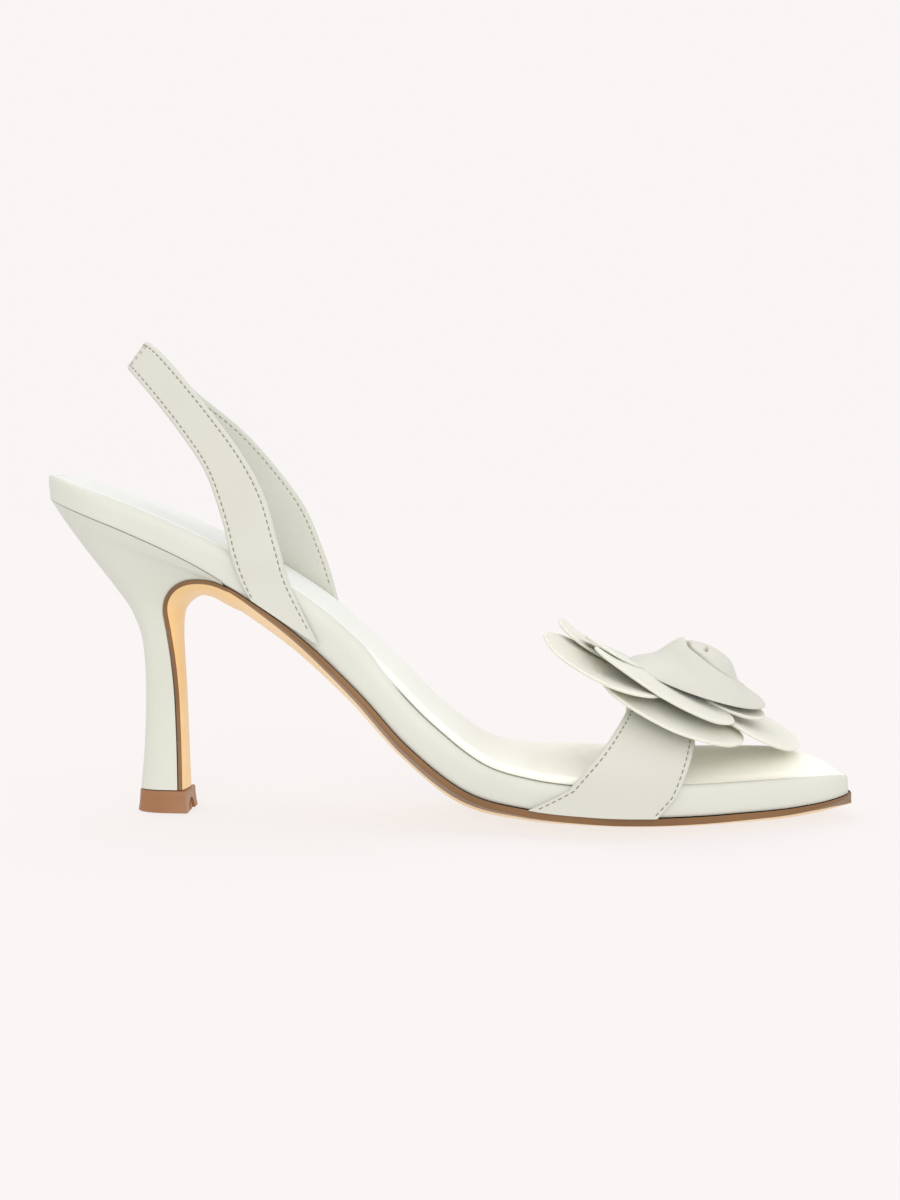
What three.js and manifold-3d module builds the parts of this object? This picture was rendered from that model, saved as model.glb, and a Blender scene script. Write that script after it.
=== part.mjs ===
// A right-foot slingback sandal on a slim flared heel, with a leather flower on its vamp strap.
// Millimetres, +Z up. The shoe is drawn with its heel back at x = 0 and its toe along +x, the
// outer side at -y and the inner side at +y, and stands on z = 0. The last lines move the group
// so that the origin is under the middle of the shoe.
import * as THREE from "three";
import { mergeVertices } from "three/addons/utils/BufferGeometryUtils.js";
import Module from "manifold-3d";

const wasm = await Module();
wasm.setup();

// A table of rows with named columns.
function table(names, rows) {
  const keys = names.split(" ");
  return rows.map((row) => Object.fromEntries(keys.map((key, i) => [key, row[i]])));
}

// Driving sizes
const SHOE_LENGTH = 232; // heel back to toe tip, along the floor
const SEAT_HEIGHT = 92; // floor to the insole's lower edge at the heel back
const TREAD_HEIGHT = 5.2; // floor to the insole's lower edge at the ball
const SEAT_WIDTH = 44.6;
const WAIST_WIDTH = 37.7;
const BALL_WIDTH = 72;
const HEEL_ROUND = 21; // length over which the heel end is rounded in plan
const TOE_ROUND = 11;
const GAP = 0.3; // between pieces that touch
const INSOLE_WALL = 8; // covered board and its padding, at the edge
const KEEL_DEPTH = 5; // how far the waist bulges below its edges
const SOCK_THICKNESS = 2.2;
const SOCK_CROWN = 2;
const SOCK_INSET = 0.9;
const SOCK_FLUSH_TO = 0.28; // over this share of the length the sock covers the board's edge
const SOLE_THICKNESS = 2.8;
const BREAST_THICKNESS = 2; // the sole where it runs down the heel breast
const BREAST_EDGE = 1.1; // its thickness there at its edges
const SOLE_MARGIN = 0.9; // how far the sole stands out past the insole
const HEEL_REACH = 58; // heel back to the front of the heel seat
const TIP_HEIGHT = 6.4;
const TIP_OVERHANG = 0.3;
const TIP_FLARE = 0.6;
const TIP_NOTCH_RADIUS = 3.5;
const TIP_NOTCH_DEPTH = 1;
const STRAP_THICKNESS = 1.8;
const VAMP_HEIGHT = 38; // top of the vamp strap above the floor, at its back edge
const VAMP_BACK = 0.7263; // share of the length where the vamp strap's back edge crosses the middle
const VAMP_FALL = 0.29; // how fast the vamp strap's top falls towards the toe
const SLING_HEIGHT = 79; // from the insole's lower edge at the strap's root to its top
const FLOWER_AT = 0.7694; // flower's centre, as a share of the length
const FLOWER_SEAT = 0.8; // from the strap's crown to the flower's underside
const FLOWER_TILT = 22; // degrees, falling towards the toe
const PETAL_REACH = 38;
const PETAL_WIDTH = 42;
const PETAL_THICKNESS = 1;
const BUD_SEAT = 7.9; // from the flower's underside to the bud's
const BUD_FORWARD = 7; // the bud sits this far towards the toe from the petals' middle
const BUD_RADIUS = 11.4;
const BUD_HEIGHT = 9.6;
const LIP_FALL = 3.8;
const ROLL_STEP = 0.14; // growth of the radius over one turn of the roll

// Sections of the last, from heel to toe. at: share of the length. rise: share of the climb from
// tread to seat. outer, inner: half widths as shares of width. keel, wall, crown: shares of
// KEEL_DEPTH, INSOLE_WALL and SOCK_CROWN. lean: how far a section leans with the slope. edge: the
// sole's thickness at its edges, as a share of SOLE_THICKNESS.
const LAST = table("at rise width outer inner keel wall crown lean edge", [
  [0.0, 1.0, SEAT_WIDTH, 0.527, 0.437, 0.0, 0.68, -0.2, -0.25, 0.3],
  [0.05, 0.955, SEAT_WIDTH, 0.538, 0.448, 0.06, 0.66, -0.3, 0, 0.3],
  [0.12, 0.881, SEAT_WIDTH, 0.545, 0.455, 0.3, 0.66, -0.3, 0.5, 0.3],
  [0.2, 0.781, SEAT_WIDTH, 0.547, 0.433, 0.6, 0.7, -0.2, 1, 0.3],
  [0.26, 0.682, WAIST_WIDTH, 0.637, 0.446, 0.74, 0.84, 0.1, 1, 0.32],
  [0.33, 0.548, WAIST_WIDTH, 0.637, 0.377, 0.82, 0.95, 0.3, 1, 0.46],
  [0.4, 0.373, WAIST_WIDTH, 0.655, 0.345, 0.88, 1.0, 0.4, 1, 0.58],
  [0.46, 0.202, WAIST_WIDTH, 0.7, 0.358, 0.95, 1.1, 0.4, 1, 0.62],
  [0.53, 0.068, WAIST_WIDTH, 0.796, 0.446, 1.08, 1.08, 0.4, 1, 0.66],
  [0.6, 0.024, BALL_WIDTH, 0.469, 0.319, 0.88, 0.98, 0.4, 1, 0.7],
  [0.68, 0.008, BALL_WIDTH, 0.506, 0.442, 0.64, 0.93, 0.4, 1, 0.72],
  [0.74, 0.003, BALL_WIDTH, 0.49, 0.508, 0.6, 0.86, 0.5, 1, 0.72],
  [0.8, 0.0, BALL_WIDTH, 0.428, 0.525, 0.57, 0.8, 0.7, 1, 0.71],
  [0.86, 0.0, BALL_WIDTH, 0.342, 0.467, 0.5, 0.78, 1.0, 1, 0.68],
  [0.92, 0.001, BALL_WIDTH, 0.239, 0.347, 0.4, 0.74, 1.0, 1, 0.58],
  [1.0, 0.021, BALL_WIDTH, 0.105, 0.15, 0.15, 0.45, -1, 1, 0.34],
]);

// Sections of the heel from its seat down to its tip. breast and back are the front and rear ends
// of a section: along as a share of HEEL_REACH, up as a share of the climb from the tip to the
// seat. half and shift are shares of SEAT_WIDTH, keel of KEEL_DEPTH. seat: share of the seat's
// outline in the section.
const HEEL = table("breastAlong breastUp backAlong backUp half shift keel seat", [
  [0.983, 0.6964, 0.02, 0.9914, 0.462, -0.072, 0.79, 1],
  [0.871, 0.721, 0.08, 0.9245, 0.41, -0.06, 0.68, 0.86],
  [0.762, 0.7234, 0.166, 0.8404, 0.36, -0.054, 0.6, 0.66],
  [0.679, 0.7045, 0.257, 0.7584, 0.306, -0.052, 0.64, 0.44],
  [0.621, 0.6667, 0.343, 0.6808, 0.248, -0.052, 0.6, 0.22],
  [0.597, 0.6179, 0.407, 0.615, 0.198, -0.052, 0.5, 0.08],
  [0.607, 0.5427, 0.452, 0.533, 0.153, -0.052, 0.24, 0],
  [0.624, 0.4431, 0.469, 0.437, 0.126, -0.052, 0.1, 0],
  [0.638, 0.3259, 0.472, 0.3205, 0.115, -0.052, 0.03, 0],
  [0.647, 0.1618, 0.464, 0.1618, 0.116, -0.052, 0, 0],
  [0.653, 0, 0.443, 0, 0.132, -0.052, 0, 0],
]);
const HEEL_FRONT_ROW = 0.4; // the heel's front edge is blunt here, just behind the sole's bend

// The vamp strap's back and front edges, as shares of the length, across the foot from the outer
// edge (0) to the inner edge (1). Up to WALL_SHARE at each end it lies against the insole's wall.
const WALL_SHARE = 0.12;
const VAMP = table("across back front", [
  [0.0, 0.603, 0.7525],
  [0.12, 0.648, 0.775],
  [0.25, 0.692, 0.793],
  [0.39, 0.722, 0.804],
  [0.5, VAMP_BACK, 0.8116],
  [0.67, 0.7305, 0.828],
  [0.88, 0.7328, 0.849],
  [1.0, 0.7328, 0.86],
]);

// The heel strap from its outer root round the back to its inner root. Edges: along as a share of
// the length, up as a share of SLING_HEIGHT. spread: share of the distance out to the insole's wall.
const SLING_ROOT_AT = 0.302;
const SLING = table("side spread backAlong backUp frontAlong frontUp", [
  [-1, 1.0, 0.2705, 0.07, 0.353, -0.09],
  [-1, 1.0, 0.2582, 0.13, 0.3198, 0.115],
  [-1, 1.0, 0.2466, 0.225, 0.3056, 0.257],
  [-1, 0.91, 0.2353, 0.345, 0.2866, 0.434],
  [-1, 0.74, 0.2112, 0.516, 0.2586, 0.573],
  [-1, 0.54, 0.1767, 0.655, 0.2177, 0.725],
  [-1, 0.36, 0.1379, 0.788, 0.1746, 0.87],
  [-1, 0.22, 0.1103, 0.874, 0.1422, 0.968],
  [1, 0.0, 0.0983, 0.902, 0.1228, 1.003],
  [1, 0.34, 0.1103, 0.874, 0.1362, 0.95],
  [1, 0.58, 0.1401, 0.782, 0.1719, 0.836],
  [1, 0.88, 0.1832, 0.642, 0.2284, 0.693],
  [1, 1.1, 0.2198, 0.49, 0.2716, 0.547],
  [1, 1.15, 0.25, 0.307, 0.3082, 0.395],
  [1, 1.08, 0.2694, 0.193, 0.3319, 0.237],
  [1, 1.02, 0.2823, 0.104, 0.347, 0.11],
  [1, 1.0, 0.2953, 0.015, 0.3707, -0.16],
]);

// Petals. turn: degrees from the toe towards the outer side. reach, width: shares of PETAL_REACH
// and PETAL_WIDTH. lift, climb, cup, curl, skew: how high a petal is at the centre, at its end, at
// both edges, at the turned-up end, and from one edge to the other, in PETAL_THICKNESS.
const OUTER_PETALS = table("turn reach width lift climb cup curl skew", [
  [0, 1.1, 1.14, 1.4, -1.3, 0.1, 0.8, 2.6],
  [86, 0.95, 1.04, 1.4, -8.8, 0.8, 1.0, -0.6],
  [147, 1.04, 1.12, 1.5, -3.7, 1.3, 1.8, -3.3],
  [204, 1.0, 0.62, 1.2, 2.6, 0.1, 3.6, 1.2],
  [288, 0.92, 1.0, 1.4, -3.2, 0.8, 1.5, 0.4],
]);
const INNER_PETALS = table("turn reach width lift climb cup curl skew", [
  [14, 0.78, 0.64, 3.8, 0.0, 0.2, 0.6, 1.8],
  [98, 0.8, 1.04, 4.2, -3.9, 0.7, 0.4, -3.5],
  [188, 0.71, 0.94, 3.7, 1.6, 0.2, 0.6, 1.6],
  [266, 0.74, 0.9, 4.4, -2.0, 0.4, 0.6, 0.4],
]);

// The hubs that join a row's petals. radius: share of PETAL_REACH. height, middle: in
// PETAL_THICKNESS.
const HUBS = {
  outer: { radius: 0.24, height: 2.4, middle: 1.2 },
  inner: { radius: 0.21, height: 2.2, middle: 3.8 },
};

// The rolled bud and its outer turn, whose lip spreads like a saucer and falls on the outer side.
// up, wide, ahead, fall, roll: shares of BUD_HEIGHT, BUD_RADIUS (twice), LIP_FALL and ROLL_STEP.
const BUD = table("up wide ahead fall roll", [
  [0.0, 0.7, 0, 0.1, 0],
  [0.0, 1.68, 0.1, 0.95, 0],
  [0.06, 1.76, 0.1, 1.0, 0],
  [0.12, 1.68, 0.1, 0.94, 0],
  [0.2, 1.26, 0.05, 0.5, 0.2],
  [0.34, 1.0, 0, 0.15, 0.7],
  [0.62, 0.86, 0, 0, 1],
  [0.84, 0.64, 0, 0, 1],
  [0.96, 0.36, 0, 0, 1],
  [1.0, 0.16, 0, 0, 1],
]);

const NODE_LOOKS = {
  outsole: [0xd9a066, 0.55],
  insole: [0xeeeee4, 0.45],
  sock: [0xf2f1e6, 0.5],
  heel: [0xeeeee4, 0.42],
  heel_tip: [0x9a5f38, 0.5],
  strap: [0xeceade, 0.45],
  flower: [0xf0efe4, 0.5],
};

const lerp = THREE.MathUtils.lerp;
const clamp = THREE.MathUtils.clamp;

// A table's column at a place along another column, as a smooth curve through the rows.
function column(rows, key, place, by = "at") {
  const where = rows.map((row, i) => (by === "row" ? i : row[by]));
  const value = (i) => rows[i][key] * (key === "outer" || key === "inner" ? rows[i].width : 1);
  const last = rows.length - 1;
  const p = clamp(place, where[0], where[last]);
  let i = 0;
  while (i < last - 1 && p > where[i + 1]) i++;
  const slope = (k) => {
    const a = Math.max(k - 1, 0);
    const b = Math.min(k + 1, last);
    return (value(b) - value(a)) / (where[b] - where[a]);
  };
  const step = where[i + 1] - where[i];
  const t = (p - where[i]) / step;
  const hermite = (v0, v1, m0, m1) =>
    v0 * (2 * t ** 3 - 3 * t ** 2 + 1) + m0 * step * (t ** 3 - 2 * t ** 2 + t) +
    v1 * (3 * t ** 2 - 2 * t ** 3) + m1 * step * (t ** 3 - t ** 2);
  return hermite(value(i), value(i + 1), slope(i), slope(i + 1));
}

// Share of the full width left where an end of the outline is rounded.
function roundEnd(distance, radius) {
  const missing = clamp(1 - distance / radius, 0, 1);
  return Math.sqrt(Math.max(0, 1 - missing * missing));
}

// Half width of the outline on one side (-1 outer, 1 inner), grown outwards by margin.
function halfWidth(x, side, margin = 0) {
  const base = column(LAST, side < 0 ? "outer" : "inner", x / SHOE_LENGTH);
  return (base + margin) * roundEnd(x + margin, HEEL_ROUND + margin) *
    roundEnd(SHOE_LENGTH + margin - x, TOE_ROUND + margin);
}

const edgeHeight = (x) =>
  TREAD_HEIGHT + (SEAT_HEIGHT - TREAD_HEIGHT) * column(LAST, "rise", x / SHOE_LENGTH);

// The insole's lower edge at x, with the direction in which the section stands up from it.
function station(x) {
  const at = x / SHOE_LENGTH;
  const slope = Math.atan2(edgeHeight(x - 0.5) - edgeHeight(x + 0.5), 1);
  const lean = slope * column(LAST, "lean", at);
  return {
    x,
    z: edgeHeight(x),
    upX: Math.sin(lean),
    upZ: Math.cos(lean),
    keel: KEEL_DEPTH * Math.max(0, column(LAST, "keel", at)),
    wall: INSOLE_WALL * column(LAST, "wall", at),
    crown: SOCK_CROWN * column(LAST, "crown", at),
    soleEdge: SOLE_THICKNESS * column(LAST, "edge", at),
    sockInset: SOCK_INSET * THREE.MathUtils.smoothstep(at, SOCK_FLUSH_TO, SOCK_FLUSH_TO + 0.06),
  };
}

const raise = (s, y, up) => new THREE.Vector3(s.x + s.upX * up, y, s.z + s.upZ * up);

// The bulge of the underside across its width, from 0 at the edges to 1 in the middle.
const bulge = (across) => 1 - Math.abs(across) ** 2.5;

// Places along the shoe, closer together where the outline turns round its ends.
function stationsAlong(from, to, count) {
  return Array.from({ length: count + 1 }, (_, i) => {
    const even = i / count;
    const eased = (1 - Math.cos(Math.PI * even)) / 2;
    return lerp(from, to, lerp(even, eased, 0.8));
  });
}

// A closed solid through rings of equal length. startCap may give a grid of points that closes
// the first ring.
function loft(rings, startCap) {
  const points = [];
  const faces = [];
  const add = (ring) => ring.map((p) => points.push(p) - 1);
  const ids = rings.map(add);
  const quad = (a, b, c, d) => faces.push(a, b, c, a, c, d);
  for (let i = 0; i + 1 < ids.length; i++) {
    for (let j = 0; j < ids[i].length; j++) {
      const k = (j + 1) % ids[i].length;
      quad(ids[i][j], ids[i][k], ids[i + 1][k], ids[i + 1][j]);
    }
  }
  const fan = (ring, flip) => {
    const middle = new THREE.Vector3();
    ring.forEach((id) => middle.add(points[id]));
    const centre = points.push(middle.divideScalar(ring.length)) - 1;
    ring.forEach((id, j) => {
      const next = ring[(j + 1) % ring.length];
      faces.push(centre, flip ? next : id, flip ? id : next);
    });
  };
  const gridCap = (grid) => {
    const rows = grid.map(add);
    for (let i = 0; i + 1 < rows.length; i++) {
      for (let j = 0; j + 1 < rows[i].length; j++) {
        quad(rows[i][j + 1], rows[i][j], rows[i + 1][j], rows[i + 1][j + 1]);
      }
    }
  };
  if (startCap) gridCap(startCap);
  else fan(ids[0], true);
  fan(ids[ids.length - 1], false);
  const geometry = new THREE.BufferGeometry().setFromPoints(points).setIndex(faces);
  return facingOut(mergeVertices(dropSlivers(mergeVertices(geometry, 1e-4)), 1e-4));
}

// Leaves out the triangles whose corners have merged.
function dropSlivers(geometry) {
  const index = geometry.index.array;
  const kept = [];
  for (let i = 0; i < index.length; i += 3) {
    const [a, b, c] = [index[i], index[i + 1], index[i + 2]];
    if (a !== b && b !== c && a !== c) kept.push(a, b, c);
  }
  return geometry.setIndex(kept);
}

// Turns every triangle round if the solid is inside out.
function facingOut(geometry) {
  const at = geometry.attributes.position;
  const index = Array.from(geometry.index.array);
  const [a, b, c] = [new THREE.Vector3(), new THREE.Vector3(), new THREE.Vector3()];
  let volume = 0;
  for (let i = 0; i < index.length; i += 3) {
    a.fromBufferAttribute(at, index[i]);
    b.fromBufferAttribute(at, index[i + 1]);
    c.fromBufferAttribute(at, index[i + 2]);
    volume += a.dot(b.cross(c));
  }
  if (volume < 0) {
    for (let i = 0; i < index.length; i += 3) [index[i], index[i + 1]] = [index[i + 1], index[i]];
  }
  return geometry.setIndex(index);
}

function solid(geometry) {
  const bare = new THREE.BufferGeometry().setAttribute("position", geometry.attributes.position);
  const merged = mergeVertices(geometry.index ? bare.setIndex(geometry.index) : bare, 1e-4);
  return new wasm.Manifold(new wasm.Mesh({
    numProp: 3,
    vertProperties: new Float32Array(merged.attributes.position.array),
    triVerts: new Uint32Array(merged.index.array),
  }));
}

function geometryOf(manifold) {
  const mesh = manifold.getMesh();
  return new THREE.BufferGeometry()
    .setAttribute("position", new THREE.BufferAttribute(mesh.vertProperties, 3))
    .setIndex(new THREE.BufferAttribute(mesh.triVerts, 1));
}

const shoe = new THREE.Group();

function addNode(name, geometry, look) {
  const [color, roughness] = NODE_LOOKS[look ?? name];
  const shaded = geometry.toNonIndexed();
  shaded.computeVertexNormals();
  const material = new THREE.MeshStandardMaterial({ color, roughness, metalness: 0 });
  const mesh = new THREE.Mesh(shaded, material);
  mesh.name = name;
  shoe.add(mesh);
  return mesh;
}

// Insole: board, shank and padding in one leather cover, keeled below and rounded at its top edge
const ENDS = 0.12; // the first and last sections stop this short of the outline's ends
const ACROSS = 8;
const BOARD_SHARE = 0.985; // the underside stops this far out, where the cover turns up
const INSOLE_STEPS = 41;
// Going up the wall to the top's corner, as shares of INSOLE_WALL.
const WALL_PROFILE = [
  { inset: 0, up: 0.25 },
  { inset: -0.019, up: 0.6 },
  { inset: 0.0125, up: 0.84 },
  { inset: 0.1125, up: 0.97 },
];
const TOP_INSET = 0.1875;

function acrossRow(s, share, upAt) {
  const outer = share * halfWidth(s.x, -1);
  const inner = share * halfWidth(s.x, 1);
  return Array.from({ length: ACROSS + 1 }, (_, j) => {
    const q = (2 * j) / ACROSS - 1;
    return raise(s, q < 0 ? q * outer : q * inner, upAt(q));
  });
}

const shrink = (full, inset) => Math.max(full - inset, full * 0.35);

function insoleRing(x) {
  const s = station(x);
  const side = (sign) => WALL_PROFILE.map(({ inset, up }) =>
    raise(s, sign * shrink(halfWidth(x, sign), INSOLE_WALL * inset), s.wall * up));
  const below = acrossRow(s, BOARD_SHARE, (q) => -s.keel * bulge(q));
  const above = [0.9, 0.3, -0.3, -0.9].map((q) =>
    raise(s, q * shrink(halfWidth(x, Math.sign(q)), INSOLE_WALL * TOP_INSET), s.wall));
  return [...below, ...side(1), ...above, ...side(-1).reverse()];
}

const insoleStations = stationsAlong(ENDS, SHOE_LENGTH - ENDS, INSOLE_STEPS);
addNode("insole", loft(insoleStations.map(insoleRing)));

// Sock: the padded lining on top of the insole
const SOCK_ENDS = 1.2;
const SOCK_STEPS = 36;
// Going up the rolled edge, as shares of SOCK_THICKNESS.
const SOCK_PROFILE = [
  { inset: 0, up: 0.35 },
  { inset: 0.18, up: 0.8 },
  { inset: 0.68, up: 1 },
];
const SOCK_FOOT_INSET = 0.136;
const SOCK_TOP_INSET = 0.91;

function sockRing(x) {
  const s = station(x);
  const base = s.wall + GAP;
  const reach = (sign, inset) => shrink(halfWidth(x, sign), inset);
  const side = (sign) => SOCK_PROFILE.map(({ inset, up }) =>
    raise(s, sign * reach(sign, s.sockInset + SOCK_THICKNESS * inset), base + SOCK_THICKNESS * up));
  const below = [-1, -0.35, 0.35, 1].map((q) =>
    raise(s, q * reach(Math.sign(q), s.sockInset + SOCK_THICKNESS * SOCK_FOOT_INSET), base));
  const above = [0.75, 0.4, 0, -0.4, -0.75].map((q) => {
    const out = reach(Math.sign(q) || 1, SOCK_THICKNESS * SOCK_TOP_INSET);
    return raise(s, q * out, base + SOCK_THICKNESS + s.crown * (1 - q * q));
  });
  return [...below, ...side(1), ...above, ...side(-1).reverse()];
}

const sockStations = stationsAlong(SOCK_ENDS, SHOE_LENGTH - SOCK_ENDS, SOCK_STEPS);
addNode("sock", loft(sockStations.map(sockRing)));

// Heel: the sections lie between the breast and the back, and turn from the floor's level to the
// seat's slope
const heelColumn = (key, row) => column(HEEL, key, row, "row");
const heelHeight = (key, row) => lerp(TIP_HEIGHT + GAP, SEAT_HEIGHT, heelColumn(key, row));
const LAST_ROW = HEEL.length - 1;

// A place on the line where the sole lies against the heel's breast.
function breast(row) {
  const at = (r) => new THREE.Vector2(
    HEEL_REACH * heelColumn("breastAlong", r),
    heelHeight("breastUp", r),
  );
  const p = at(row);
  const run = at(Math.min(row + 0.05, LAST_ROW)).sub(at(Math.max(row - 0.05, 0))).normalize();
  const half = SEAT_WIDTH * heelColumn("half", row);
  const shift = SEAT_WIDTH * heelColumn("shift", row);
  return {
    x: p.x, z: p.y, outX: -run.y, outZ: run.x, half, shift,
    keel: KEEL_DEPTH * Math.max(0, heelColumn("keel", row)),
  };
}

const HEEL_BACKWARD = 12; // steps from a section's front to its back
const backShare = (j) => Math.sin((Math.PI / 2) * (j / HEEL_BACKWARD));
const SHAFT_SQUARENESS = 3; // a shaft section is blunt in front and round behind
const SHAFT_ROUNDNESS = 2.2;
const shaftShape = (a) => (1 - a ** SHAFT_SQUARENESS) ** (1 / SHAFT_ROUNDNESS);

function heelRing(row, onSeat) {
  const b = breast(row);
  const backX = HEEL_REACH * heelColumn("backAlong", onSeat ? 0 : row);
  const backZ = heelHeight("backUp", onSeat ? 0 : row);
  const seatFront = breast(HEEL_FRONT_ROW).x;
  const seatBack = GAP;
  const seatShare = onSeat ? 1 : heelColumn("seat", row);
  const follow = onSeat ? 1 : Math.max(0, 1 - row) ** 2;
  const front = Array.from({ length: ACROSS + 1 }, (_, j) => {
    const q = (2 * j) / ACROSS - 1;
    if (onSeat) {
      const s = station(b.x);
      const half = halfWidth(b.x, Math.sign(q) || 1, -GAP);
      return raise(s, q * half, -GAP - s.keel * bulge(q));
    }
    const out = b.keel * bulge(q) - GAP;
    return new THREE.Vector3(b.x + b.outX * out, b.shift + q * b.half, b.z + b.outZ * out);
  });
  const sideAt = (j, sign) => {
    const a = backShare(j);
    const seatX = lerp(seatFront, seatBack, a);
    const seatStation = station(seatX);
    const seatHalf = halfWidth(seatX, sign, -GAP);
    if (onSeat) return raise(seatStation, sign * seatHalf, -GAP);
    const seatShape = seatHalf / halfWidth(seatFront, sign, -GAP);
    const shape = lerp(shaftShape(a), seatShape, seatShare);
    const inX = b.x - b.outX * GAP;
    const inZ = b.z - b.outZ * GAP;
    const chordZ = lerp(inZ, backZ, a);
    const x = lerp(inX, backX, a);
    const seatRise = edgeHeight(seatX) - lerp(edgeHeight(seatFront), edgeHeight(seatBack), a);
    return new THREE.Vector3(x, b.shift + sign * b.half * shape, chordZ + seatRise * follow);
  };
  const inner = Array.from({ length: HEEL_BACKWARD }, (_, j) => sideAt(j + 1, 1));
  const outer = Array.from({ length: HEEL_BACKWARD - 1 }, (_, j) => sideAt(HEEL_BACKWARD - 1 - j, -1));
  return [...front, ...inner, ...outer];
}

// The seat's surface, hollowed to take the insole's keel.
function seatGrid(ring) {
  return Array.from({ length: HEEL_BACKWARD + 1 }, (_, j) => {
    if (j === 0) return ring.slice(0, ACROSS + 1);
    const innerPoint = ring[ACROSS + j];
    const outerPoint = j === HEEL_BACKWARD ? innerPoint : ring[ring.length - j];
    const x = lerp(breast(HEEL_FRONT_ROW).x, GAP, backShare(j));
    const s = station(x);
    return Array.from({ length: ACROSS + 1 }, (_, k) => {
      const q = (2 * k) / ACROSS - 1;
      if (k === 0) return outerPoint;
      if (k === ACROSS) return innerPoint;
      const half = halfWidth(x, Math.sign(q) || 1, -GAP);
      return raise(s, q * half, -GAP - s.keel * bulge(q));
    });
  });
}

// Rows of the table at which the heel has a section, closer together near the seat.
const heelRows = [
  HEEL_FRONT_ROW, 0.7, 1, 1.4, 1.8, 2.2, 2.6, 3, 3.4, 3.8, 4.2, 4.6, 5, 5.5, 6, 6.5, 7, 7.7, 8.5, 9.2,
  LAST_ROW,
];
const seatRing = heelRing(HEEL_FRONT_ROW, true);
const heelRings = [seatRing, ...heelRows.map((row) => heelRing(row, false))];
addNode("heel", loft(heelRings, seatGrid(seatRing)));

// Outsole: one sheet from the toe, under the waist and down the heel's breast
const SOLE_ACROSS = 8;
const SOLE_SHAVED = 3; // how suddenly the sole gets thinner towards its edges
const FOREPART_STEPS = 16;
const WAIST_STEPS = 12;
const BREAST_STEPS = 24;
const WAIST_END = 2 * HEEL_REACH; // the waist lies between here and the heel's seat
const WAIST_START = HEEL_REACH * 1.052;
const WAIST_CLEAR = HEEL_REACH * 0.069; // between the last forepart section and the first here

function soleRing(frame) {
  const rows = [0, 1].map((under) =>
    Array.from({ length: SOLE_ACROSS + 1 }, (_, j) => {
      const q = (2 * j) / SOLE_ACROSS - 1;
      const y = q < 0 ? frame.shift + q * frame.outer : frame.shift + q * frame.inner;
      const thickness = lerp(frame.thickness, frame.edge, Math.abs(q) ** SOLE_SHAVED);
      const out = frame.keel * bulge(q) + under * thickness;
      const z = frame.z + frame.outZ * out;
      return new THREE.Vector3(frame.x + frame.outX * out, y, under ? Math.max(z, 0) : z);
    }));
  return [...rows[0], ...rows[1].reverse()];
}

const soleFrames = [
  ...stationsAlong(SHOE_LENGTH + SOLE_MARGIN - ENDS, WAIST_END + WAIST_CLEAR, FOREPART_STEPS),
  ...Array.from({ length: WAIST_STEPS + 1 }, (_, i) => lerp(WAIST_END, WAIST_START, i / WAIST_STEPS)),
].map((x) => {
  const s = station(Math.min(x, SHOE_LENGTH - ENDS));
  const past = Math.max(0, x - (SHOE_LENGTH - ENDS));
  return {
    x: s.x + past - s.upX * GAP, z: s.z - s.upZ * GAP, outX: -s.upX, outZ: -s.upZ,
    outer: halfWidth(x, -1, SOLE_MARGIN), inner: halfWidth(x, 1, SOLE_MARGIN),
    shift: 0, keel: s.keel, thickness: SOLE_THICKNESS,
    edge: s.soleEdge,
  };
});
const breastFrames = Array.from({ length: BREAST_STEPS + 1 }, (_, i) => {
  const row = (LAST_ROW * i) / BREAST_STEPS;
  const b = breast(row);
  const share = clamp(row / 2, 0, 1);
  const thickness = lerp(SOLE_THICKNESS, BREAST_THICKNESS, share);
  const edge = lerp(station(HEEL_REACH).soleEdge, BREAST_EDGE, share);
  return { ...b, outer: b.half, inner: b.half, thickness, edge };
});
addNode("outsole", loft([...soleFrames, ...breastFrames].map(soleRing)));

// Heel tip: a moulded block under the heel and the end of the sole, with a notch in its front
function tipRing(z, grow) {
  const foot = breast(LAST_ROW);
  const front = foot.x + BREAST_THICKNESS + TIP_OVERHANG + grow;
  const back = HEEL_REACH * HEEL[LAST_ROW].backAlong - TIP_OVERHANG - grow;
  const half = foot.half + TIP_OVERHANG + grow;
  const side = (sign) => Array.from({ length: HEEL_BACKWARD + 1 }, (_, j) => {
    const a = backShare(j);
    return new THREE.Vector3(lerp(front, back, a), foot.shift + sign * half * shaftShape(a), z);
  });
  return [...side(-1).slice(0, HEEL_BACKWARD), ...side(1).reverse()];
}
const TIP_FOOT = 0.25; // share of the tip's height below which it flares faster
const TIP_FOOT_FLARE = 0.6;
const tipBlock = loft([
  tipRing(0, TIP_FLARE),
  tipRing(TIP_HEIGHT * TIP_FOOT, TIP_FLARE * TIP_FOOT_FLARE),
  tipRing(TIP_HEIGHT, 0),
]);
const tipFront = breast(LAST_ROW).x + BREAST_THICKNESS + TIP_OVERHANG + TIP_FLARE;
const TIP_NOTCH_UP = 0.06; // height of the notch's centre, in its radius
const notch = new THREE.CylinderGeometry(TIP_NOTCH_RADIUS, TIP_NOTCH_RADIUS, 2 * TIP_NOTCH_DEPTH, 20)
  .rotateZ(Math.PI / 2)
  .translate(tipFront, breast(LAST_ROW).shift, TIP_NOTCH_RADIUS * TIP_NOTCH_UP);
addNode("heel_tip", geometryOf(solid(tipBlock).subtract(solid(notch))));

// Vamp strap: the part of an arch over the forefoot that lies between two edge lines
const STRAP_STAND = 1.5 * GAP + STRAP_THICKNESS / 2; // from the insole's wall to a strap's middle
const SHOULDER = 0.9; // share of the wall where the strap leaves it
const ARCH_SIDES = 0.9; // below 1, the arch is fuller at its sides
const ARCH_TOP = 0.8; // below 1, the arch is flatter on top
const ARCH_START = 1.25; // above 1, the arch leaves the wall more gently

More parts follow.
